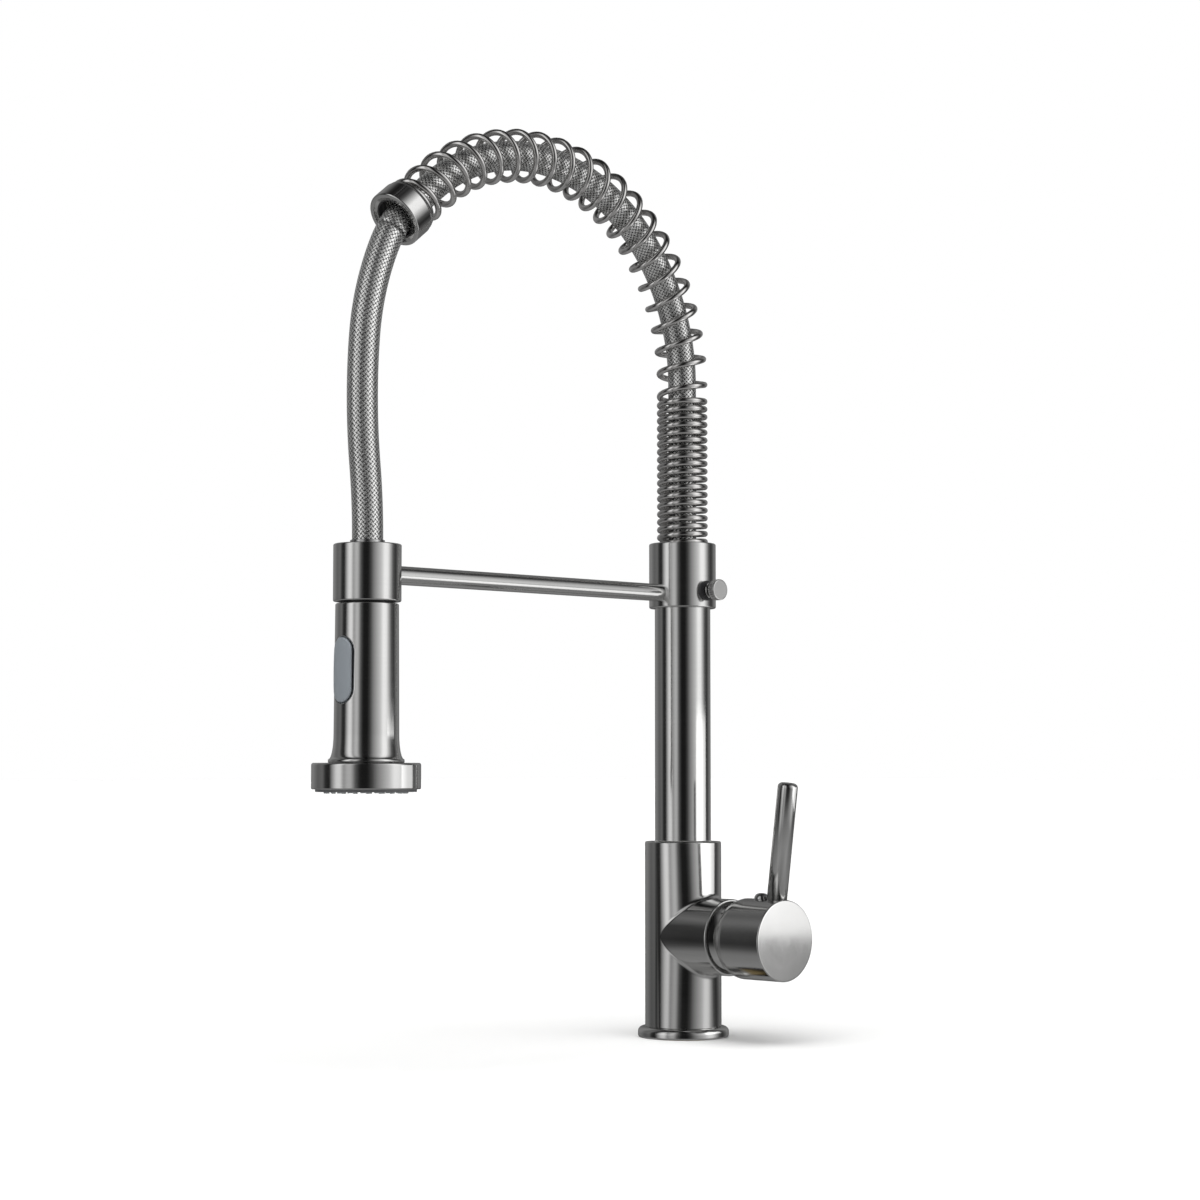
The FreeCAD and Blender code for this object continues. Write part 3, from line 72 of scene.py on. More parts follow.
# Studio: two tall soft boxes either side of the camera, a dark room behind it and a pale sweep all
# round. The boxes are bands of the world's light, so that they stay put while the camera moves, and
# the pale deck is added below them for the undersides to reflect.
SKY_STOPS = (
    (0.000, 0.10), (0.060, 0.20), (0.110, 0.22), (0.177, 0.12), (0.225, 0.15), (0.250, 0.03),
    (0.285, 0.01), (0.305, 0.30), (0.335, 0.78), (0.358, 0.80), (0.380, 0.30), (0.405, 0.50),
    (0.424, 0.50), (0.450, 0.10), (0.478, 0.01), (0.524, 0.01), (0.550, 0.06), (0.580, 0.24),
    (0.614, 0.42), (0.650, 0.62), (0.683, 1.00), (0.718, 0.95), (0.745, 0.50), (0.780, 0.10),
    (0.820, 0.03), (0.860, 0.12), (0.900, 0.22), (1.000, 0.10),
)
HEIGHT_STOPS = (
    (0.00, 0.03), (0.30, 0.06), (0.36, 0.40), (0.44, 0.62), (0.485, 0.85), (0.52, 1.00), (0.60, 1.00),
    (0.70, 1.00), (0.78, 0.60), (0.86, 0.14), (0.92, 0.05), (1.00, 0.20),
)
DECK_STOPS = ((0.00, 0.14), (0.20, 0.24), (0.32, 0.16), (0.40, 0.03), (0.45, 0.0), (1.00, 0.0))
world = bpy.data.worlds.new("studio")
bpy.context.scene.world = world
world.use_nodes = True
sky = world.node_tree
sky.nodes.clear()


def sky_math(operation, *values):
    """A maths node of the world, its inputs wired from sockets or set to numbers."""
    node = sky.nodes.new("ShaderNodeMath")
    node.operation = operation
    for socket, value in zip(node.inputs, values):
        if isinstance(value, (int, float)):
            socket.default_value = value
        else:
            sky.links.new(value, socket)
    return node.outputs[0]


def sky_ramp(stops, factor):
    """A grey ramp from (place, brightness) stops."""
    node = sky.nodes.new("ShaderNodeValToRGB")
    while len(node.color_ramp.elements) < len(stops):
        node.color_ramp.elements.new(0.5)
    for element, (place, grey) in zip(node.color_ramp.elements, stops):
        element.position = place
        element.color = (grey, grey, grey, 1.0)
    sky.links.new(factor, node.inputs[0])
    return node.outputs[0]


direction = sky.nodes.new("ShaderNodeSeparateXYZ")
sky.links.new(sky.nodes.new("ShaderNodeTexCoord").outputs["Generated"], direction.inputs[0])
towards = sky_math("ADD", sky_math("MULTIPLY", direction.outputs[0], math.sin(VIEW_TURN)),
                   sky_math("MULTIPLY", direction.outputs[1], -math.cos(VIEW_TURN)))
rightward = sky_math("ADD", sky_math("MULTIPLY", direction.outputs[0], math.cos(VIEW_TURN)),
                     sky_math("MULTIPLY", direction.outputs[1], math.sin(VIEW_TURN)))
turn = sky_math("MULTIPLY_ADD", sky_math("ARCTAN2", rightward, towards), 0.5 / math.pi, 0.5)
climb = sky_math("MULTIPLY_ADD", sky_math("ARCSINE", direction.outputs[2]), 1.0 / math.pi, 0.5)
room = sky.nodes.new("ShaderNodeMix")
room.data_type = "RGBA"
room.blend_type = "MULTIPLY"
room.inputs[0].default_value = 1.0
sky.links.new(sky_ramp(SKY_STOPS, turn), room.inputs[6])
sky.links.new(sky_ramp(HEIGHT_STOPS, climb), room.inputs[7])
with_deck = sky.nodes.new("ShaderNodeMix")
with_deck.data_type = "RGBA"
with_deck.blend_type = "ADD"
with_deck.inputs[0].default_value = 1.0
sky.links.new(room.outputs[2], with_deck.inputs[6])
sky.links.new(sky_ramp(DECK_STOPS, climb), with_deck.inputs[7])
lit_room = sky.nodes.new("ShaderNodeBackground")
lit_room.inputs["Strength"].default_value = 1.25
sky.links.new(with_deck.outputs[2], lit_room.inputs["Color"])
sweep = sky.nodes.new("ShaderNodeBackground")
sweep.inputs["Color"].default_value = (1.0, 1.0, 1.0, 1.0)
sweep.inputs["Strength"].default_value = 1.0
seen = sky.nodes.new("ShaderNodeMixShader")
sky.links.new(sky.nodes.new("ShaderNodeLightPath").outputs["Is Camera Ray"], seen.inputs[0])
sky.links.new(lit_room.outputs[0], seen.inputs[1])
sky.links.new(sweep.outputs[0], seen.inputs[2])
sky.links.new(seen.outputs[0], sky.nodes.new("ShaderNodeOutputWorld").inputs[0])

# Ceiling light: one broad soft source that lights the floor and gives the object its faint shadow.
ceiling_data = bpy.data.lights.new("ceiling", "SUN")
ceiling_data.energy = 3.7
ceiling_data.angle = math.radians(70)
ceiling = bpy.data.objects.new("ceiling", ceiling_data)
ceiling.rotation_euler = (math.radians(18), math.radians(12), 0.0)
ceiling.visible_glossy = False
bpy.context.scene.collection.objects.link(ceiling)

# Side card: a soft panel just off the handle's end, which lights the hub's face in reflections only.
card_data = bpy.data.lights.new("side_card", "AREA")
card_data.shape = "RECTANGLE"
card_data.size, card_data.size_y = 0.30, 0.14
card_data.energy = 0.12
card = bpy.data.objects.new("side_card", card_data)
card.location = (0.262, 0.175, 0.112)
card.rotation_euler = (math.pi / 2, 0.0, math.pi / 2 + math.radians(46))
card.visible_camera = False
card.visible_diffuse = False
bpy.context.scene.collection.objects.link(card)

# Floor: the plain pale deck that the flange stands on.
FLOOR_HALF = 30.0
floor_mesh = bpy.data.meshes.new("floor")
floor_mesh.from_pydata(
    [(-FLOOR_HALF, -FLOOR_HALF, 0), (FLOOR_HALF, -FLOOR_HALF, 0), (FLOOR_HALF, FLOOR_HALF, 0),
     (-FLOOR_HALF, FLOOR_HALF, 0)], [], [(0, 1, 2, 3)])
floor = bpy.data.objects.new("floor", floor_mesh)
bpy.context.scene.collection.objects.link(floor)
floor_paint = bpy.data.materials.new("pale_floor")
floor_paint.use_nodes = True
floor_paint.node_tree.nodes["Principled BSDF"].inputs["Base Color"].default_value = (0.86, 0.86, 0.855, 1.0)
floor_paint.node_tree.nodes["Principled BSDF"].inputs["Roughness"].default_value = 0.9
floor_paint.node_tree.nodes["Principled BSDF"].inputs["Specular IOR Level"].default_value = 0.1
floor_mesh.materials.append(floor_paint)
floor.visible_glossy = False

# ------------------------------------------------------------------------------------------------
# Base flange: the turned ring that covers the deck hole, plated brass with a full round edge. Its
# brushed grain runs round it, as it does on every turned piece of this faucet.
ROUND_STEPS = 7


def eased(outline, radii):
    """Rounds an outline's corners. Each corner of radius r becomes an arc tangent to both sides, and a
    point is kept just outside each end of the arc so that flats stay flat in the shading."""
    rounded = []
    count = len(outline)
    for k, (corner, radius) in enumerate(zip(outline, radii)):
        corner = np.array(corner, float)
        if radius <= 0:
            rounded.append(corner)
            continue
        back = np.array(outline[k - 1], float) - corner
        ahead = np.array(outline[(k + 1) % count], float) - corner
        back_length, ahead_length = np.linalg.norm(back), np.linalg.norm(ahead)
        back, ahead = back / back_length, ahead / ahead_length
        half = 0.5 * math.acos(np.clip(back @ ahead, -1, 1))
        trim = min(radius / math.tan(half), 0.49 * back_length, 0.49 * ahead_length)
        true_radius = trim * math.tan(half)
        centre = corner + (back + ahead) / np.linalg.norm(back + ahead) * true_radius / math.sin(half)
        enter, leave = corner + back * trim - centre, corner + ahead * trim - centre
        sweep_angle = math.pi - 2 * half
        hold = min(0.25 * trim, 0.0004)
        rounded.append(corner + back * (trim + hold))
        for share in np.linspace(0, 1, ROUND_STEPS):
            blend_in = math.sin((1 - share) * sweep_angle) / math.sin(sweep_angle)
            blend_out = math.sin(share * sweep_angle) / math.sin(sweep_angle)
            rounded.append(centre + enter * blend_in + leave * blend_out)
        rounded.append(corner + ahead * (trim + hold))
    return np.array(rounded)


def grid_faces(rows, columns, wrap_rows, wrap_columns):
    """Four-sided faces of a grid of rows x columns points, closed round either way if asked."""
    row = np.arange(rows if wrap_rows else rows - 1)[:, None]
    column = np.arange(columns if wrap_columns else columns - 1)[None, :]
    next_row, next_column = (row + 1) % rows, (column + 1) % columns
    corners = (row * columns + column, next_row * columns + column,
               next_row * columns + next_column, row * columns + next_column)
    return np.stack([np.broadcast_to(c, (row.size, column.size)) for c in corners], -1).reshape(-1, 4)


def laid_up(name, points, faces):
    """A mesh object from an array of points and faces: doubles merged, faces turned outwards, smooth."""
    mesh = bpy.data.meshes.new(name)
    mesh.from_pydata(np.asarray(points).reshape(-1, 3), [], np.asarray(faces).tolist())
    work = bmesh.new()
    work.from_mesh(mesh)
    bmesh.ops.remove_doubles(work, verts=work.verts, dist=1e-7)
    bmesh.ops.dissolve_degenerate(work, edges=work.edges, dist=1e-7)
    bmesh.ops.recalc_face_normals(work, faces=work.faces)
    work.to_mesh(mesh)
    work.free()
    mesh.polygons.foreach_set("use_smooth", np.ones(len(mesh.polygons), bool))
    finished = bpy.data.objects.new(name, mesh)
    bpy.context.scene.collection.objects.link(finished)
    return finished


AXES = {
    "Z": np.array([[1, 0, 0], [0, 1, 0], [0, 0, 1]], float),
    "X": np.array([[0, 1, 0], [0, 0, 1], [1, 0, 0]], float),
    "-Y": np.array([[1, 0, 0], [0, 0, 1], [0, -1, 0]], float),
}


def turned(name, outline, axis=AXES["Z"], at=(0, 0, 0), steps=128, swell=None):
    """A turned piece. The outline's points (radius, distance along) are carried round the axis:
    point = at + radius (cos a, sin a) across + distance along. swell(angle, along) may scale the radius.
    An outline that starts and ends off the axis is closed into a ring."""
    angle = np.linspace(0, 2 * math.pi, steps, endpoint=False)[:, None]
    radius, along = np.asarray(outline)[:, 0][None, :], np.asarray(outline)[:, 1][None, :]
    if swell is not None:
        radius = radius * swell(angle, along)
    local = np.stack([radius * np.cos(angle), radius * np.sin(angle), along + 0 * angle], -1)
    points = np.asarray(at) + local @ axis
    ends_on_axis = outline[0][0] < 1e-6 and outline[-1][0] < 1e-6
    return laid_up(name, points, grid_faces(steps, len(outline), True, not ends_on_axis))


def low_high(node, axis):
    """Lowest and highest place of a CAD node along axis 0, 1 or 2."""
    low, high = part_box(node)
    return low[axis], high[axis]


def fine_grain():
    """Shader group for brushed or moulded surfaces. Noise stretched by Stretch gives fine lines; broad
    noise gives the uneven sheen of handled metal. Puts out Shade 0..1, Roughness and Normal."""
    group = bpy.data.node_groups.new("fine_grain", "ShaderNodeTree")
    for label, kind, value in (
        ("Stretch", "NodeSocketVector", (30.0, 30.0, 4000.0)), ("Smooth", "NodeSocketFloat", 0.16),
        ("Rough", "NodeSocketFloat", 0.30), ("Relief", "NodeSocketFloat", 0.1),
    ):
        socket = group.interface.new_socket(label, in_out="INPUT", socket_type=kind)
        socket.default_value = value
    for label, kind in (("Shade", "NodeSocketFloat"), ("Roughness", "NodeSocketFloat"),
                        ("Normal", "NodeSocketVector")):
        group.interface.new_socket(label, in_out="OUTPUT", socket_type=kind)
    nodes, links = group.nodes, group.links
    inside, outside = nodes.new("NodeGroupInput"), nodes.new("NodeGroupOutput")
    place = nodes.new("ShaderNodeTexCoord")
    stretch = nodes.new("ShaderNodeVectorMath")
    stretch.operation = "MULTIPLY"
    links.new(place.outputs["Object"], stretch.inputs[0])
    links.new(inside.outputs["Stretch"], stretch.inputs[1])
    lines = nodes.new("ShaderNodeTexNoise")
    lines.inputs["Scale"].default_value = 1.0
    lines.inputs["Detail"].default_value = 5.0
    lines.inputs["Roughness"].default_value = 0.62
    links.new(stretch.outputs[0], lines.inputs["Vector"])
    smears = nodes.new("ShaderNodeTexNoise")
    smears.inputs["Scale"].default_value = 55.0
    smears.inputs["Detail"].default_value = 3.0
    links.new(place.outputs["Object"], smears.inputs["Vector"])
    mixed = nodes.new("ShaderNodeMix")
    mixed.inputs[0].default_value = 0.35
    links.new(lines.outputs["Fac"], mixed.inputs[2])
    links.new(smears.outputs["Fac"], mixed.inputs[3])
    spread = nodes.new("ShaderNodeMapRange")
    spread.inputs["From Min"].default_value = 0.3
    spread.inputs["From Max"].default_value = 0.7
    links.new(mixed.outputs[0], spread.inputs["Value"])
    links.new(inside.outputs["Smooth"], spread.inputs["To Min"])
    links.new(inside.outputs["Rough"], spread.inputs["To Max"])
    relief = nodes.new("ShaderNodeBump")
    relief.inputs["Distance"].default_value = 0.00003
    links.new(inside.outputs["Relief"], relief.inputs["Strength"])
    links.new(lines.outputs["Fac"], relief.inputs["Height"])
    links.new(lines.outputs["Fac"], outside.inputs["Shade"])
    links.new(spread.outputs[0], outside.inputs["Roughness"])
    links.new(relief.outputs[0], outside.inputs["Normal"])
    return group


FINE_GRAIN = fine_grain()


def grained(name, dark, light, stretch, smooth, rough, relief, metallic=1.0, **plain):
    """A material whose colour runs from dark to light along the grain, with the group's roughness and
    relief. plain sets further sockets of the shader by name."""
    material = bpy.data.materials.new(name)
    material.use_nodes = True
    nodes, links = material.node_tree.nodes, material.node_tree.links
    shader = nodes["Principled BSDF"]
    shader.inputs["Metallic"].default_value = metallic
    for label, value in plain.items():
        shader.inputs[label].default_value = value
    grain = nodes.new("ShaderNodeGroup")
    grain.node_tree = FINE_GRAIN
    grain.inputs["Stretch"].default_value = stretch
    grain.inputs["Smooth"].default_value = smooth
    grain.inputs["Rough"].default_value = rough
    grain.inputs["Relief"].default_value = relief
    tint = nodes.new("ShaderNodeMix")
    tint.data_type = "RGBA"
    tint.inputs[6].default_value = (*dark, 1.0)
    tint.inputs[7].default_value = (*light, 1.0)
    links.new(grain.outputs["Shade"], tint.inputs[0])
    links.new(tint.outputs[2], shader.inputs["Base Color"])
    links.new(grain.outputs["Roughness"], shader.inputs["Roughness"])
    links.new(grain.outputs["Normal"], shader.inputs["Normal"])
    return material


def finish_piece(piece, material, body, slot, *stands_for):
    """Gives a piece its material and the body it rides on, and hides the CAD nodes it stands for. The slot
    argument is not used.
    """
    piece.data.materials.clear()
    piece.data.materials.append(material)
    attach(piece, body)
    if stands_for:
        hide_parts(*stands_for)


# Brushed nickel: the grain is fine lines round the upright axis, so it varies quickly up the piece.
NICKEL_DARK, NICKEL_LIGHT = (0.60, 0.598, 0.592), (0.75, 0.748, 0.74)
UPRIGHT, SIDEWAYS, OUTWARD = (40.0, 40.0, 6000.0), (6000.0, 40.0, 40.0), (40.0, 6000.0, 40.0)
nickel_upright = grained("nickel_upright", NICKEL_DARK, NICKEL_LIGHT, UPRIGHT, 0.09, 0.18, 0.10)
nickel_sideways = grained("nickel_sideways", NICKEL_DARK, NICKEL_LIGHT, SIDEWAYS, 0.10, 0.20, 0.10)
nickel_outward = grained("nickel_outward", NICKEL_DARK, NICKEL_LIGHT, OUTWARD, 0.09, 0.18, 0.10)
nickel_polished = grained("nickel_polished", NICKEL_DARK, NICKEL_LIGHT, UPRIGHT, 0.06, 0.14, 0.05)

flange_radius = low_high("base_flange", 0)[1]
flange_top = low_high("base_flange", 2)[1]
gasket_radius = low_high("deck_gasket", 0)[1]
shank_radius = low_high("mounting_shank", 0)[1]
flange_outline = eased(
    [(shank_radius + 0.0003, 0.002), (gasket_radius, 0.002), (gasket_radius, 0.0), (flange_radius, 0.0),
     (flange_radius, flange_top), (shank_radius + 0.0003, flange_top)],
    [0, 0, 0, 0.0014, 0.0028, 0])
flange = turned("flange_ring", flange_outline)
finish_piece(flange, nickel_upright, "base", "nickel", "base_flange")

# ------------------------------------------------------------------------------------------------
# Body casting: the upright column and the valve housing that grows out of it are one casting, blended
# where they meet, plated and brushed. Its shape is the CAD's, merged so that it shades smoothly.
CREASE = math.radians(28)


def smooth_copy(name, node):
    """A merged, smoothly shaded copy of a CAD node, creased only at its real edges."""
    mesh = frame["nodes"][node].data.copy()
    mesh.name = name
    work = bmesh.new()
    work.from_mesh(mesh)
    bmesh.ops.remove_doubles(work, verts=work.verts, dist=2e-6)
    work.to_mesh(mesh)
    work.free()
    mesh.polygons.foreach_set("use_smooth", np.ones(len(mesh.polygons), bool))
    mesh.set_sharp_from_angle(angle=CREASE)
    copy = bpy.data.objects.new(name, mesh)
    bpy.context.scene.collection.objects.link(copy)
    return copy


body_casting = smooth_copy("body_casting", "faucet_body")
finish_piece(body_casting, nickel_upright, "base", "nickel", "faucet_body")

# Dome under the handle: a pressed cover over the cartridge, seen in the gap behind the hub.
dome = smooth_copy("valve_dome", "cartridge_dome")
finish_piece(dome, nickel_polished, "base", "nickel", "cartridge_dome")

# ------------------------------------------------------------------------------------------------
# Riser: the drawn tube that stands in the body and turns in it.
riser_radius = low_high("riser_tube", 0)[1]
riser_low, riser_high = low_high("riser_tube", 2)
body_top = low_high("faucet_body", 2)[1]
RISER_BORE = 0.0125
JOURNAL_RADIUS = 0.0150
riser = turned("riser_column", eased(
    [(RISER_BORE, riser_low), (JOURNAL_RADIUS, riser_low), (JOURNAL_RADIUS, body_top + 0.0003),
     (riser_radius, body_top + 0.0003), (riser_radius, riser_high), (RISER_BORE, riser_high)],
    [0, 0, 0, 0.0002, 0.0003, 0]))
finish_piece(riser, nickel_upright, "spout", "nickel", "riser_tube")

# Top collar: a thicker turned sleeve over the riser's end. It holds the arm, the thumbscrew and the
# foot of the spring.
collar_radius = low_high("top_collar", 0)[1]
collar_low, collar_high = low_high("top_collar", 2)
COLLAR_SPRING_BORE = 0.01445
collar = turned("collar_sleeve", eased(
    [(riser_radius, collar_low), (collar_radius, collar_low), (collar_radius, collar_high),
     (COLLAR_SPRING_BORE, collar_high), (COLLAR_SPRING_BORE, riser_high), (riser_radius, riser_high)],
    [0, 0.0008, 0.0008, 0.0003, 0, 0]))
finish_piece(collar, nickel_upright, "spout", "nickel", "top_collar")

# Docking arm: a solid rod from the collar to the docking sleeve.
arm_radius = low_high("docking_arm", 0)[1]
arm_back, arm_front = -low_high("docking_arm", 1)[1], -low_high("docking_arm", 1)[0]
arm_level = sum(low_high("docking_arm", 2)) / 2
arm = turned("arm_rod", eased(
    [(0, arm_back), (arm_radius, arm_back), (arm_radius, arm_front), (0, arm_front)], [0, 0.0003, 0.0003, 0]),
    axis=AXES["-Y"], at=(0, 0, arm_level), steps=64)
finish_piece(arm, nickel_outward, "spout", "nickel", "docking_arm")

# Docking sleeve: a turned cup, open below for the spray head's neck, with a hole in its lid for the hose.
head_y = -sum(low_high("docking_sleeve", 1)) / 2
sleeve_radius = low_high("docking_sleeve", 0)[1]
sleeve_low, sleeve_high = low_high("docking_sleeve", 2)
SLEEVE_BORE, LID_BORE, LID_THICKNESS = 0.0150, 0.0102, 0.0015
sleeve = turned("sleeve_cup", eased(
    [(SLEEVE_BORE, sleeve_low), (sleeve_radius, sleeve_low), (sleeve_radius, sleeve_high),
     (LID_BORE, sleeve_high), (LID_BORE, sleeve_high - LID_THICKNESS),
     (SLEEVE_BORE, sleeve_high - LID_THICKNESS)],
    [0.0003, 0.0007, 0.0007, 0.0003, 0.0003, 0]), at=(0, -head_y, 0))
finish_piece(sleeve, nickel_upright, "spout", "nickel", "docking_sleeve")

# ------------------------------------------------------------------------------------------------
# Thumbscrew: turned steel with a knurled head; the black bezel is the nylon bush it turns in.
thumb_level = sum(low_high("thumbscrew", 2)) / 2
thumb_start, thumb_end = low_high("thumbscrew", 0)
thumb_radius = low_high("thumbscrew", 2)[1] - thumb_level
bezel_end = low_high("thumbscrew_bezel", 0)[1]
NECK_RADIUS, STUD_RADIUS, HEAD_LENGTH, KNURLS = 0.0042, 0.0030, 0.0042, 28
head_start = thumb_end - HEAD_LENGTH
head_middle = thumb_end - HEAD_LENGTH / 2


def knurl(angle, along):
    """Grips of the knurled head: a ripple round it that fades out towards both ends of the head."""
    inside_head = np.clip(1 - np.abs(along - head_middle) / (0.42 * HEAD_LENGTH), 0, 1)
    return 1 - 0.045 * np.minimum(1, 3 * inside_head) * (0.5 + 0.5 * np.cos(KNURLS * angle))


thumb_outline = eased(
    [(0, thumb_start), (STUD_RADIUS, thumb_start), (STUD_RADIUS, bezel_end + 0.0021),
     (NECK_RADIUS, bezel_end + 0.0021), (NECK_RADIUS, head_start), (thumb_radius, head_start),
     (thumb_radius, head_start + 0.0014), (thumb_radius, thumb_end - 0.0014), (thumb_radius, thumb_end),
     (0, thumb_end)],
    [0, 0.0002, 0, 0.0002, 0, 0.0005, 0, 0, 0.0006, 0])
thumbscrew = turned("thumb_knob", thumb_outline, axis=AXES["X"], at=(0, 0, thumb_level), steps=224,
                    swell=knurl)
finish_piece(thumbscrew, nickel_sideways, "thumb", "nickel", "thumbscrew")

# ------------------------------------------------------------------------------------------------
# Support spring: one length of nickel-plated wire wound close on the riser's end, then open over the
# arch, and closed again at the end collar. Right-handed, 3.3 mm wire on a 25 mm coil.
WIRE_RADIUS, COIL_RADIUS = 0.00165, 0.0125
TIGHT_PITCH, TIGHT_TOP, OPEN_TURNS, END_TURNS = 0.00436, 0.353, 20.65, 2
ARCH_HEIGHT, ARCH_RADIUS, ARCH_TURN, ARCH_TAIL = 0.3602, 0.11042, math.radians(130), 0.0168
TURN_OUTSIDE = 0.0035
arch_end = ARCH_HEIGHT + ARCH_RADIUS * ARCH_TURN + ARCH_TAIL
collar_rear = arch_end + TURN_OUTSIDE


def arch_line(run):
    """Centreline of the spring and its outward side. Straight up to ARCH_HEIGHT, then round a circle of
    ARCH_RADIUS in the plane x = 0, then straight on."""
    turn_here = np.clip((run - ARCH_HEIGHT) / ARCH_RADIUS, 0, ARCH_TURN)
    outward = np.stack([0 * run, np.cos(turn_here), np.sin(turn_here)], -1)
    ahead = np.stack([0 * run, -np.sin(turn_here), np.cos(turn_here)], -1)
    centre = np.array([0, -ARCH_RADIUS, ARCH_HEIGHT]) + ARCH_RADIUS * outward
    past_end = np.maximum(run - ARCH_HEIGHT - ARCH_RADIUS * ARCH_TURN, 0)
    before = np.minimum(run - ARCH_HEIGHT, 0)
    return centre + ahead * (past_end + before)[:, None], outward, ahead


def tube(name, line, radius, steps, side):
    """A round tube along a line of points, closed at both ends. side gives the direction, at each point,
    that the first point of each ring faces."""
    ahead = np.gradient(line, axis=0)
    ahead /= np.linalg.norm(ahead, axis=1)[:, None]
    side = side - ahead * np.sum(side * ahead, axis=1)[:, None]
    side /= np.linalg.norm(side, axis=1)[:, None]
    across = np.cross(ahead, side)
    angle = np.linspace(0, 2 * math.pi, steps, endpoint=False)[None, :, None]
    spokes = np.cos(angle) * side[:, None, :] + np.sin(angle) * across[:, None, :]
    rings = line[:, None, :] + radius * spokes
    first, last = np.repeat(line[:1, None, :], steps, 1), np.repeat(line[-1:, None, :], steps, 1)
    points = np.concatenate([first, rings, last], 0)
    return laid_up(name, points, grid_faces(len(line) + 2, steps, False, True))


seat_top = low_high("spring_seat", 2)[1]
close_pitch = 2.1 * WIRE_RADIUS
spring_start = seat_top + WIRE_RADIUS
tight_turns = (TIGHT_TOP - spring_start) / TIGHT_PITCH
turn_knots = np.cumsum([0, tight_turns, OPEN_TURNS, END_TURNS])
run_knots = [spring_start, TIGHT_TOP, arch_end, arch_end + END_TURNS * close_pitch]
POINTS_PER_TURN = 48
turns = np.arange(0, turn_knots[-1], 1 / POINTS_PER_TURN)
centre, outward, _ = arch_line(np.interp(turns, turn_knots, run_knots))
wind = 2 * math.pi * turns[:, None]
spoke = np.cos(wind) * np.array([1.0, 0, 0]) + np.sin(wind) * outward
spring = tube("spring_coil", centre + COIL_RADIUS * spoke, WIRE_RADIUS, 16, spoke)
spring_wire = grained("spring_wire", (0.62, 0.61, 0.60), (0.80, 0.79, 0.78), (250.0, 250.0, 250.0),
                      0.08, 0.16, 0.05)
finish_piece(spring, spring_wire, "spout", "spring_steel", "support_spring")

# ------------------------------------------------------------------------------------------------
# End collar: the turned ring that closes the spring's end and lets the hose out. A shallow step runs
# round its face, and its rear is a little smaller, against the last coil.
tail_centre, _, tail_ahead = arch_line(np.array([collar_rear]))
tail_axis = np.stack([[1.0, 0, 0], np.cross(tail_ahead[0], [1.0, 0, 0]), tail_ahead[0]])
END_RADIUS, END_LENGTH, END_BORE, LIP_RADIUS, SPRING_DEPTH = 0.01525, 0.0132, 0.0112, 0.0129, 0.0055
end_collar = turned("end_ring", eased(
    [(COLLAR_SPRING_BORE, 0), (END_RADIUS - 0.0005, 0), (END_RADIUS - 0.0005, 0.0022), (END_RADIUS, 0.0022),
     (END_RADIUS, END_LENGTH), (LIP_RADIUS, END_LENGTH), (LIP_RADIUS, END_LENGTH - 0.0008),
     (END_BORE, END_LENGTH - 0.0008), (END_BORE, SPRING_DEPTH), (COLLAR_SPRING_BORE, SPRING_DEPTH)],
    [0.0002, 0.0003, 0, 0.0003, 0.0007, 0.0003, 0, 0, 0, 0]), axis=tail_axis, at=tail_centre[0])
finish_piece(end_collar, nickel_polished, "spout", "nickel", "end_collar")

# ------------------------------------------------------------------------------------------------
# Spray hose: a rubber tube in a woven steel braid, 15.5 mm across. It runs up the riser and through
# the spring, bends out of the end collar and drops to the spray head. It is made whole in the CAD; here
# the part inside the column and the part that drops are two lengths.
HOSE_RADIUS, HOSE_STEP, HOSE_STRAIGHT = 0.00775, 0.002, 0.001
EXIT_BEND, EXIT_TURN, DROP_BEND, DROP_TURN = 0.0587, math.radians(25.1), 0.1456, math.radians(20.25)
STRANDS, STRAND_PITCH = 20, 0.0024


def bend_line(start, slope, radius, turn_angle, count):
    """Points of an arc in the plane x = 0 that starts at a slope below the level and turns downwards, or
    back up when radius and turn are negative."""
    slopes = slope + np.linspace(0, turn_angle, count)
    away = np.sin(slopes) - math.sin(slope)
    drop = math.cos(slope) - np.cos(slopes)
    return start + np.stack([0 * slopes, -radius * away, -radius * drop], -1)


hose_low = low_high("lower_ferrule", 2)[0]
ferrule_low, ferrule_high = low_high("upper_ferrule", 2)
column_run = np.arange(hose_low, collar_rear, HOSE_STEP)
column_line = arch_line(column_run)[0]
slope = ARCH_TURN - math.pi / 2
first_bend = bend_line(tail_centre[0], slope, EXIT_BEND, EXIT_TURN, 12)
slope += EXIT_TURN
second_bend = bend_line(first_bend[-1], slope, DROP_BEND, DROP_TURN, 20)
slope += DROP_TURN
# Two more arcs of one radius: one swings past straight down by the sway, one returns onto the head's axis.
fall, over = second_bend[-1][2] - ferrule_high - HOSE_STRAIGHT, head_y + second_bend[-1][1]
share = (fall * (1 + math.sin(slope)) + over * math.cos(slope)) / (2 * math.hypot(fall, over))
sway = math.acos(share) - math.atan2(over, fall)
sway_radius = fall / (math.cos(slope) + 2 * math.sin(sway))
third_bend = bend_line(second_bend[-1], slope, sway_radius, math.pi / 2 + sway - slope, 24)
last_bend = bend_line(third_bend[-1], math.pi / 2 + sway, -sway_radius, -sway, 24)
drop_run = np.arange(last_bend[-1][2] - HOSE_STEP, ferrule_low, -HOSE_STEP)
drop = np.stack([0 * drop_run, -head_y + 0 * drop_run, drop_run], -1)
hose_line = np.concatenate([column_line, first_bend, second_bend[1:], third_bend[1:], last_bend[1:], drop])


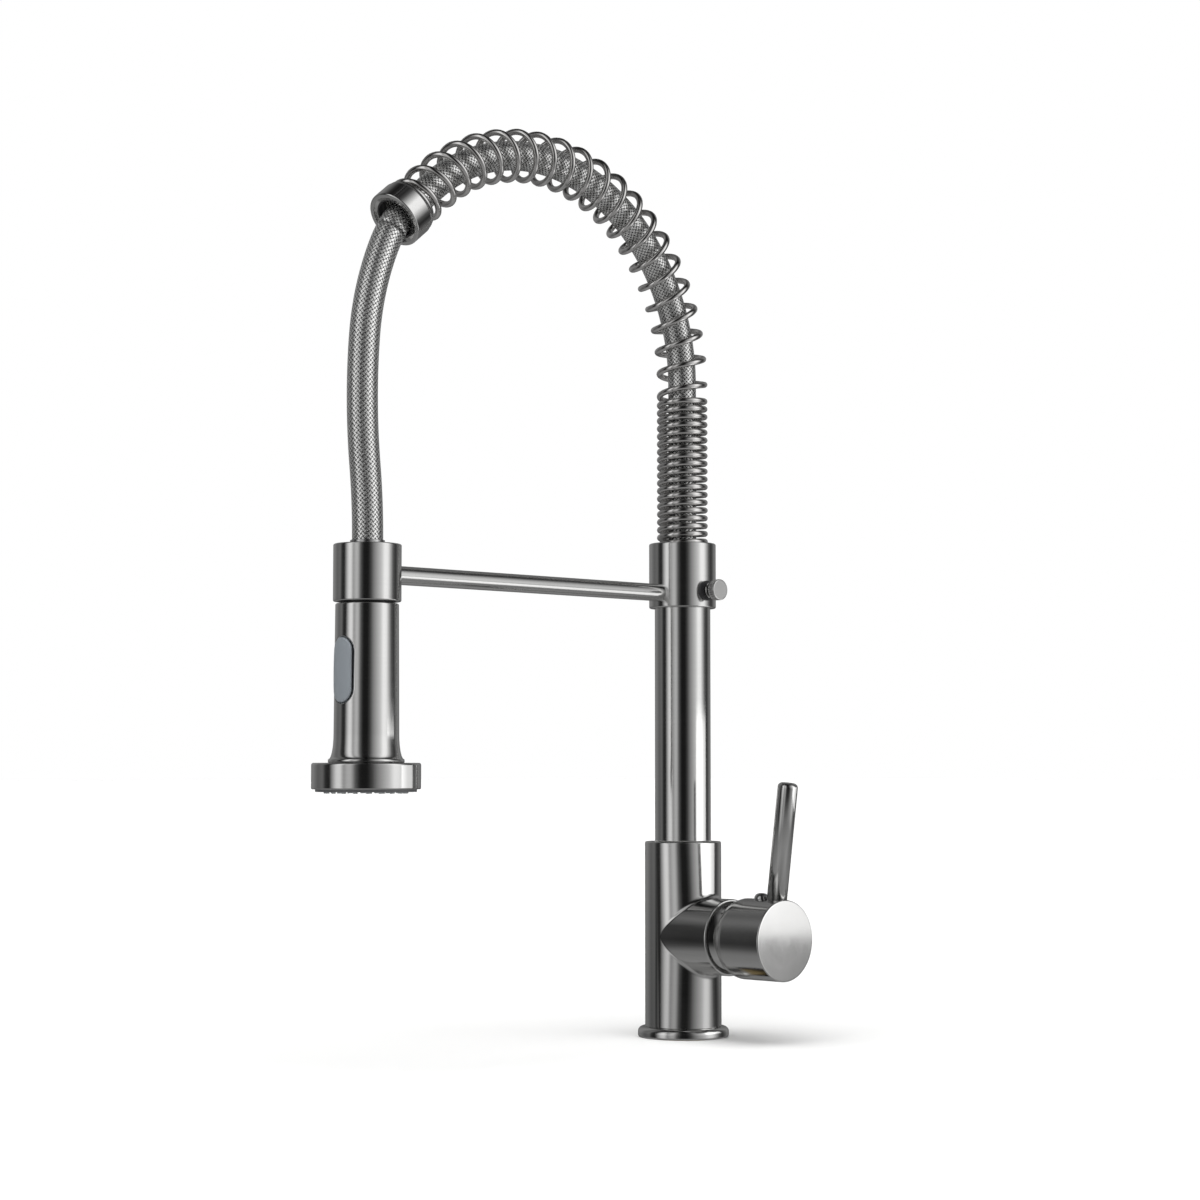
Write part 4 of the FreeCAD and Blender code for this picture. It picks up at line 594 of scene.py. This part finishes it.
def braided(name, line, start_length):
    """A length of hose with a UV map in metres: u round it, v along it from start_length."""
    steps = 48
    side = np.repeat([[1.0, 0, 0]], len(line), 0)
    length = start_length + np.concatenate([[0], np.cumsum(np.linalg.norm(np.diff(line, axis=0), axis=1))])
    piece = tube(name, line, HOSE_RADIUS, steps, side)
    mesh = piece.data
    where = np.empty(len(mesh.vertices) * 3)
    mesh.vertices.foreach_get("co", where)
    where = where.reshape(-1, 3)
    nearest = np.array([np.argmin(np.sum((line - point) ** 2, 1)) for point in where[:, None, :]])
    ahead = np.gradient(line, axis=0)
    ahead /= np.linalg.norm(ahead, axis=1)[:, None]
    offset = where - line[nearest]
    across = np.cross(ahead[nearest], side[nearest])
    round_share = np.arctan2(np.sum(offset * across, 1), offset[:, 0]) / (2 * math.pi)
    corner_vertex = np.empty(len(mesh.loops), int)
    mesh.loops.foreach_get("vertex_index", corner_vertex)
    starts = np.empty(len(mesh.polygons), int)
    mesh.polygons.foreach_get("loop_start", starts)
    totals = np.empty(len(mesh.polygons), int)
    mesh.polygons.foreach_get("loop_total", totals)
    face = np.repeat(np.arange(len(starts)), totals)
    share = round_share[corner_vertex]
    highest = np.full(len(starts), -1.0)
    np.maximum.at(highest, face, share)
    share = np.where(highest[face] - share > 0.5, share + 1, share)
    layer = mesh.uv_layers.new(name="braid")
    layer.data.foreach_set("uv", np.stack([share, length[nearest][corner_vertex]], -1).ravel())
    return piece


def braid_weave():
    """Shader group for a woven braid. Two sets of strands cross: u STRANDS + v / pitch and the same with
    v negative. Each strand is a rounded ridge, and a chequer says which set lies on top."""
    group = bpy.data.node_groups.new("braid_weave", "ShaderNodeTree")
    for label, value in (("Strands", float(STRANDS)), ("Pitch", STRAND_PITCH)):
        group.interface.new_socket(label, in_out="INPUT", socket_type="NodeSocketFloat").default_value = value
    for label in ("Height", "Painted_Gap_Shade"):
        group.interface.new_socket(label, in_out="OUTPUT", socket_type="NodeSocketFloat")
    nodes, links = group.nodes, group.links
    inside, outside = nodes.new("NodeGroupInput"), nodes.new("NodeGroupOutput")

    def sum_up(operation, *values):
        node = nodes.new("ShaderNodeMath")
        node.operation = operation
        for socket, value in zip(node.inputs, values):
            if isinstance(value, (int, float)):
                socket.default_value = value
            else:
                links.new(value, socket)
        return node.outputs[0]

    chart = nodes.new("ShaderNodeUVMap")
    chart.uv_map = "braid"
    split = nodes.new("ShaderNodeSeparateXYZ")
    links.new(chart.outputs[0], split.inputs[0])
    round_it = sum_up("MULTIPLY", split.outputs[0], inside.outputs["Strands"])
    along_it = sum_up("DIVIDE", split.outputs[1], inside.outputs["Pitch"])
    one, other = sum_up("ADD", round_it, along_it), sum_up("SUBTRACT", round_it, along_it)
    ridges = []
    for course in (one, other):
        from_middle = sum_up("ABSOLUTE", sum_up("SUBTRACT", sum_up("FRACT", course), 0.5))
        ridges.append(sum_up("SQRT", sum_up("MAXIMUM", sum_up("SUBTRACT", 1.0, sum_up(
            "POWER", sum_up("MULTIPLY", from_middle, 2.5), 2.0)), 0.0)))
    square = sum_up("ADD", sum_up("FLOOR", one), sum_up("FLOOR", other))
    chequer = sum_up("MODULO", sum_up("ABSOLUTE", square), 2.0)
    over = sum_up("MAXIMUM", sum_up("MULTIPLY", ridges[0], sum_up("MULTIPLY_ADD", chequer, 0.5, 0.5)),
                  sum_up("MULTIPLY", ridges[1], sum_up("MULTIPLY_ADD", chequer, -0.5, 1.0)))
    links.new(over, outside.inputs["Height"])
    # Painted shade: the second output is near 1 in the low places at the edges of the strands, where the
    # crevices between them fall in shade.
    links.new(sum_up("SUBTRACT", 1.0, sum_up("MINIMUM", sum_up(
        "MAXIMUM", sum_up("MULTIPLY_ADD", over, 2.2, -0.75), 0.0), 1.0)), outside.inputs["Painted_Gap_Shade"])
    return group


braid_metal = bpy.data.materials.new("braided_steel")
braid_metal.use_nodes = True
braid_nodes, braid_links = braid_metal.node_tree.nodes, braid_metal.node_tree.links
braid_shader = braid_nodes["Principled BSDF"]
weave = braid_nodes.new("ShaderNodeGroup")
weave.node_tree = braid_weave()
# The braid's colour runs from bright steel on the strands to near-black painted shade in the crevices between
# them.
braid_tint_with_shade = braid_nodes.new("ShaderNodeMix")
braid_tint_with_shade.data_type = "RGBA"
braid_tint_with_shade.inputs[6].default_value = (0.88, 0.88, 0.87, 1.0)
braid_tint_with_shade.inputs[7].default_value = (0.015, 0.015, 0.015, 1.0)
braid_links.new(weave.outputs["Painted_Gap_Shade"], braid_tint_with_shade.inputs[0])
braid_links.new(braid_tint_with_shade.outputs[2], braid_shader.inputs["Base Color"])
braid_relief = braid_nodes.new("ShaderNodeBump")
braid_relief.inputs["Strength"].default_value = 0.5
braid_relief.inputs["Distance"].default_value = 0.0002
braid_links.new(weave.outputs["Height"], braid_relief.inputs["Height"])
braid_links.new(braid_relief.outputs[0], braid_shader.inputs["Normal"])
braid_shader.inputs["Metallic"].default_value = 0.9
braid_shader.inputs["Roughness"].default_value = 0.24

# The hose is split 8 points past the end collar's mouth.
SPLIT = len(column_line) + 8
guided_line, drop_line = hose_line[:SPLIT + 1], hose_line[SPLIT:]
guided_length = np.sum(np.linalg.norm(np.diff(guided_line, axis=0), axis=1))
hose_guided = braided("hose_guided", guided_line, 0.0)
finish_piece(hose_guided, braid_metal, "spout", "braided_hose", "spray_hose")
hose_drop = braided("hose_drop", drop_line, guided_length)
hose_drop.data.materials.append(braid_metal)
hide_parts("spray_hose")
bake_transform(hose_drop)

# ------------------------------------------------------------------------------------------------
# Spray head shell: a tube that widens a little towards its flared foot, with a slot-shaped recess on
# the front for the mode button. The surface is the turned outline pressed in round the button.
head_low, head_high = low_high("head_shell", 2)
head_foot_radius = low_high("head_shell", 0)[1]
HEAD_TOP_RADIUS, HEAD_LOW_RADIUS, HEAD_WALL, NECK_HOLE = 0.01575, 0.0162, 0.0018, 0.0131
BUTTON_HALF, BUTTON_LENGTH, BUTTON_LEVEL, BUTTON_GAP = 0.0067, 0.0320, 0.1951, 0.0004
RECESS_DEPTH = 0.0012
FLARE_START, FLARE_FOOT = 0.0150, 0.0016


def shell_radius(height):
    """Radius of the shell at a height: a straight taper, then a quarter-ellipse flare above the foot."""
    taper = HEAD_LOW_RADIUS + (HEAD_TOP_RADIUS - HEAD_LOW_RADIUS) * (
        (height - head_low - FLARE_START) / (head_high - head_low - FLARE_START))
    share = np.clip((head_low + FLARE_START - height) / (FLARE_START - FLARE_FOOT), 0, 1)
    flare = (head_foot_radius - HEAD_LOW_RADIUS) * (1 - np.sqrt(1 - share ** 2.2))
    return np.where(share > 0, HEAD_LOW_RADIUS + flare, taper)


def slot_distance(across, up):
    """Distance outside the button's outline: an upright slot shape with round ends."""
    straight = BUTTON_LENGTH / 2 - BUTTON_HALF
    return np.hypot(across, np.maximum(np.abs(up - BUTTON_LEVEL) - straight, 0)) - BUTTON_HALF


outer_height = np.concatenate([
    np.linspace(head_low + FLARE_FOOT, head_low + FLARE_START, 24)[:-1],
    np.linspace(head_low + FLARE_START, head_high - 0.0012, 190)])
outer = shell_radius(outer_height)
top_lip = eased([(HEAD_TOP_RADIUS, head_high - 0.003), (HEAD_TOP_RADIUS, head_high), (NECK_HOLE, head_high)],
                [0, 0.0007, 0])[1:]
inner = [(NECK_HOLE, head_high - HEAD_WALL), (HEAD_TOP_RADIUS - HEAD_WALL, head_high - HEAD_WALL),
         (HEAD_LOW_RADIUS - HEAD_WALL, head_low + FLARE_START), (head_foot_radius - 0.0035, head_low),
         (head_foot_radius - 0.0003, head_low), (head_foot_radius, head_low + 0.0003)]
shell_outline = np.concatenate([np.stack([outer, outer_height], -1), top_lip, inner])
# Points are crowded towards the front, where the recess needs them.
SHELL_STEPS, FRONT_CROWDING = 240, 0.62
around = np.linspace(0, 2 * math.pi, SHELL_STEPS, endpoint=False)
around = around + FRONT_CROWDING * np.cos(around)
shell_angle = around[:, None]
shell_r, shell_z = shell_outline[:, 0][None, :], shell_outline[:, 1][None, :]
is_outside = (np.arange(len(shell_outline)) < len(outer))[None, :]
front = np.cos(shell_angle + math.pi / 2) > 0
pressed = np.clip(0.5 - (slot_distance(shell_r * np.cos(shell_angle), shell_z) - BUTTON_GAP) / 0.0004, 0, 1)
shell_r = shell_r - RECESS_DEPTH * pressed * is_outside * front
shell_points = np.stack([shell_r * np.cos(shell_angle), shell_r * np.sin(shell_angle) - head_y,
                         shell_z + 0 * shell_angle], -1)
head_shell = laid_up("head_tube", shell_points, grid_faces(SHELL_STEPS, len(shell_outline), True, True))
finish_piece(head_shell, nickel_upright, "spray_head", "nickel", "head_shell")

# Mode button: a rocker of satin grey plastic, crowned a little and rounded over at its rim. It follows
# the tube's curve and stands proud of it. The surface runs from its rim (0) to its middle line (1).
BUTTON_PROUD, BUTTON_ROUND, BUTTON_SKIRT, BUTTON_BACK = 0.0007, 0.0008, 0.0018, 0.0135
rim = np.linspace(0, 2 * math.pi, 160, endpoint=False)[:, None]
inward = np.concatenate([[0.0, 0.0], 1 - np.cos(np.linspace(0, math.pi / 2, 8))[1:],
                         np.linspace(1.2, BUTTON_HALF / BUTTON_ROUND, 12)])[None, :] * BUTTON_ROUND
rise = np.concatenate([[-BUTTON_SKIRT - BUTTON_ROUND, -BUTTON_ROUND],
                       BUTTON_ROUND * (np.sin(np.linspace(0, math.pi / 2, 8))[1:] - 1),
                       np.zeros(12)])[None, :]
reach_in = BUTTON_HALF - np.minimum(inward, BUTTON_HALF)
straight_half = BUTTON_LENGTH / 2 - BUTTON_HALF
button_x = reach_in * np.cos(rim)
button_z = BUTTON_LEVEL + reach_in * np.sin(rim) + straight_half * np.clip(np.sin(rim) * 6, -1, 1)
crown = 0.0004 * (1 - ((button_z - BUTTON_LEVEL) / (BUTTON_LENGTH / 2)) ** 2)
button_r = shell_radius(button_z) + BUTTON_PROUD + rise + crown
button_angle = button_x / HEAD_LOW_RADIUS
button_points = np.stack([
    button_r * np.sin(button_angle), -head_y - button_r * np.cos(button_angle), button_z], -1)
button_back = button_points[:, :1] * [1, 0, 1] + [0, -head_y - BUTTON_BACK, 0]
button_cap = np.concatenate([button_back * [0, 1, 1], button_back, button_points], 1)
button = laid_up("button_cap", button_cap, grid_faces(len(rim), button_cap.shape[1], True, False))
button_grey = grained("button_grey", (0.185, 0.205, 0.225), (0.215, 0.235, 0.255), (900.0, 900.0, 900.0),
                      0.36, 0.46, 0.12, metallic=0.0)
finish_piece(button, button_grey, "rocker", "grey_button", "mode_button")

# ------------------------------------------------------------------------------------------------
# Bell ring: the wide turned rim round the spray face, plated like the shell it is screwed to.
bell_radius = low_high("bell_ring", 0)[1]
bell_low, bell_high = low_high("bell_ring", 2)
BELL_WALL, BELL_TOP, BELL_BORE = 0.0020, 0.0025, 0.0155
bell = turned("bell_rim", eased(
    [(BELL_BORE, bell_high - BELL_TOP), (bell_radius - BELL_WALL, bell_high - BELL_TOP),
     (bell_radius - BELL_WALL, bell_low), (bell_radius, bell_low), (bell_radius, bell_high),
     (BELL_BORE, bell_high)],
    [0, 0, 0.0003, 0.0007, 0.0011, 0]), at=(0, -head_y, 0), steps=160)
finish_piece(bell, nickel_upright, "spray_head", "nickel", "bell_ring")

# ------------------------------------------------------------------------------------------------
# Handle hub: a turned cup that hides the cartridge, with a satin face. It rides on the valve's stem.
valve_level = sum(low_high("handle_hub", 2)) / 2
hub_radius = low_high("handle_hub", 1)[1]
hub_start, hub_end = low_high("handle_hub", 0)
HUB_REAR, HUB_WALL, HUB_SHOULDER, HUB_CAVITY = 0.0199, 0.0022, 0.0475, 0.054
BOSS_RADIUS, BOSS_START = 0.008, 0.049
STEM_RADIUS, STEM_END, FACE_CROWN = 0.004, 0.0639, 0.00035
hub = turned("hub_cup", eased(
    [(0, hub_end), (hub_radius, hub_end - FACE_CROWN), (hub_radius, HUB_SHOULDER), (HUB_REAR, hub_start),
     (HUB_REAR - HUB_WALL, hub_start), (hub_radius - HUB_WALL, HUB_CAVITY), (BOSS_RADIUS, HUB_CAVITY),
     (BOSS_RADIUS, BOSS_START), (STEM_RADIUS, BOSS_START), (STEM_RADIUS, STEM_END), (0, STEM_END)],
    [0, 0.0007, 0.006, 0.0005, 0.0005, 0, 0, 0, 0, 0, 0]), axis=AXES["X"], at=(0, 0, valve_level), steps=160)
finish_piece(hub, nickel_sideways, "handle", "nickel", "handle_hub")

# Lever: a plain rod with a rounded end, set into the hub and leaning outwards.
LEVER_RADIUS, LEVER_LEAN, LEVER_X = 0.0054, math.radians(7.8), 0.0700
LEVER_SOCKET, LEVER_LENGTH = 0.008, 0.0625
lever_up = np.array([math.sin(LEVER_LEAN), 0, math.cos(LEVER_LEAN)])
lever_axis = np.stack([[math.cos(LEVER_LEAN), 0, -math.sin(LEVER_LEAN)], [0, 1.0, 0], lever_up])
lever_foot = np.array([LEVER_X, 0, valve_level + hub_radius]) - lever_up * LEVER_SOCKET
rod_length = LEVER_SOCKET + LEVER_LENGTH
lever = turned("lever_handle", eased(
    [(0, 0), (LEVER_RADIUS, 0), (LEVER_RADIUS, rod_length), (0, rod_length)],
    [0, 0, 0.0022, 0]), axis=lever_axis, at=lever_foot, steps=72)
finish_piece(lever, nickel_upright, "handle", "nickel", "lever_rod")

# Screw plug: a small domed button over the hub's grub screw.
plug_low, plug_high = low_high("indicator_plug", 2)
plug_radius = low_high("indicator_plug", 1)[1]
plug_x = sum(low_high("indicator_plug", 0)) / 2
PLUG_SEAT = valve_level + 0.0212
dome_share = np.linspace(0, math.pi / 2, 14)
plug_outline = np.concatenate([
    [(0, plug_low), (0.0025, plug_low), (0.0025, PLUG_SEAT), (plug_radius, PLUG_SEAT)],
    np.stack([plug_radius * np.cos(dome_share) ** 0.8, PLUG_SEAT + 0.0008 + (plug_high - PLUG_SEAT - 0.0008)
              * np.sin(dome_share)], -1)])
plug_outline[-1][0] = 0
plug = turned("screw_plug", plug_outline, at=(plug_x, 0, 0), steps=48)
plug_chrome = grained("plug_chrome", (0.50, 0.50, 0.50), (0.62, 0.62, 0.62), (300.0, 300.0, 300.0),
                      0.05, 0.12, 0.03)
finish_piece(plug, plug_chrome, "handle", "plug_black", "indicator_plug")

# ------------------------------------------------------------------------------------------------
# Plain pieces whose CAD shape is right: rubber, plastic, ceramic, brass and steel parts, most of them
# inside. Each keeps its mesh and gets the finish of its own material.
turned_brass = grained("turned_brass", (0.55, 0.40, 0.17), (0.78, 0.60, 0.30), UPRIGHT, 0.22, 0.38, 0.2)
turned_steel = grained("turned_steel", (0.50, 0.50, 0.50), (0.66, 0.66, 0.66), UPRIGHT, 0.16, 0.30, 0.15)
black_rubber = grained("black_rubber", (0.018, 0.018, 0.018), (0.032, 0.032, 0.032), (700.0, 700.0, 700.0),
                       0.62, 0.82, 0.35, metallic=0.0)
alumina = grained("alumina", (0.80, 0.79, 0.75), (0.88, 0.87, 0.84), (500.0, 500.0, 500.0), 0.12, 0.22, 0.02,
                  metallic=0.0)
acetal = grained("acetal", (0.74, 0.74, 0.72), (0.82, 0.82, 0.80), (600.0, 600.0, 600.0), 0.38, 0.52, 0.1,
                 metallic=0.0)
black_nylon = grained("black_nylon", (0.016, 0.016, 0.017), (0.028, 0.028, 0.030), (800.0, 800.0, 800.0),
                      0.34, 0.50, 0.2, metallic=0.0)
face_plastic = grained("face_plastic", (0.085, 0.087, 0.090), (0.115, 0.118, 0.122), (900.0, 900.0, 900.0),
                       0.34, 0.46, 0.15, metallic=0.0)
grey_silicone = grained("grey_silicone", (0.20, 0.21, 0.22), (0.27, 0.28, 0.29), (900.0, 900.0, 900.0),
                        0.55, 0.70, 0.2, metallic=0.0)
aerator_grey = grained("aerator_grey", (0.42, 0.43, 0.44), (0.55, 0.56, 0.57), (1200.0, 1200.0, 1200.0),
                       0.30, 0.45, 0.3, metallic=0.0)
FINISH_OF_SLOT = {
    "brass": turned_brass, "steel": turned_steel, "rubber": black_rubber, "ceramic": alumina,
    "white_plastic": acetal, "black_plastic": black_nylon, "spray_face": face_plastic,
    "nozzle_rubber": grey_silicone, "aerator_plastic": aerator_grey,
}
for subpart in frame["record"]["subparts"]:
    finish = FINISH_OF_SLOT.get(subpart["material_slot"])
    if finish:
        cad_mesh = frame["nodes"][subpart["node"]].data
        cad_mesh.materials.clear()
        cad_mesh.materials.append(finish)
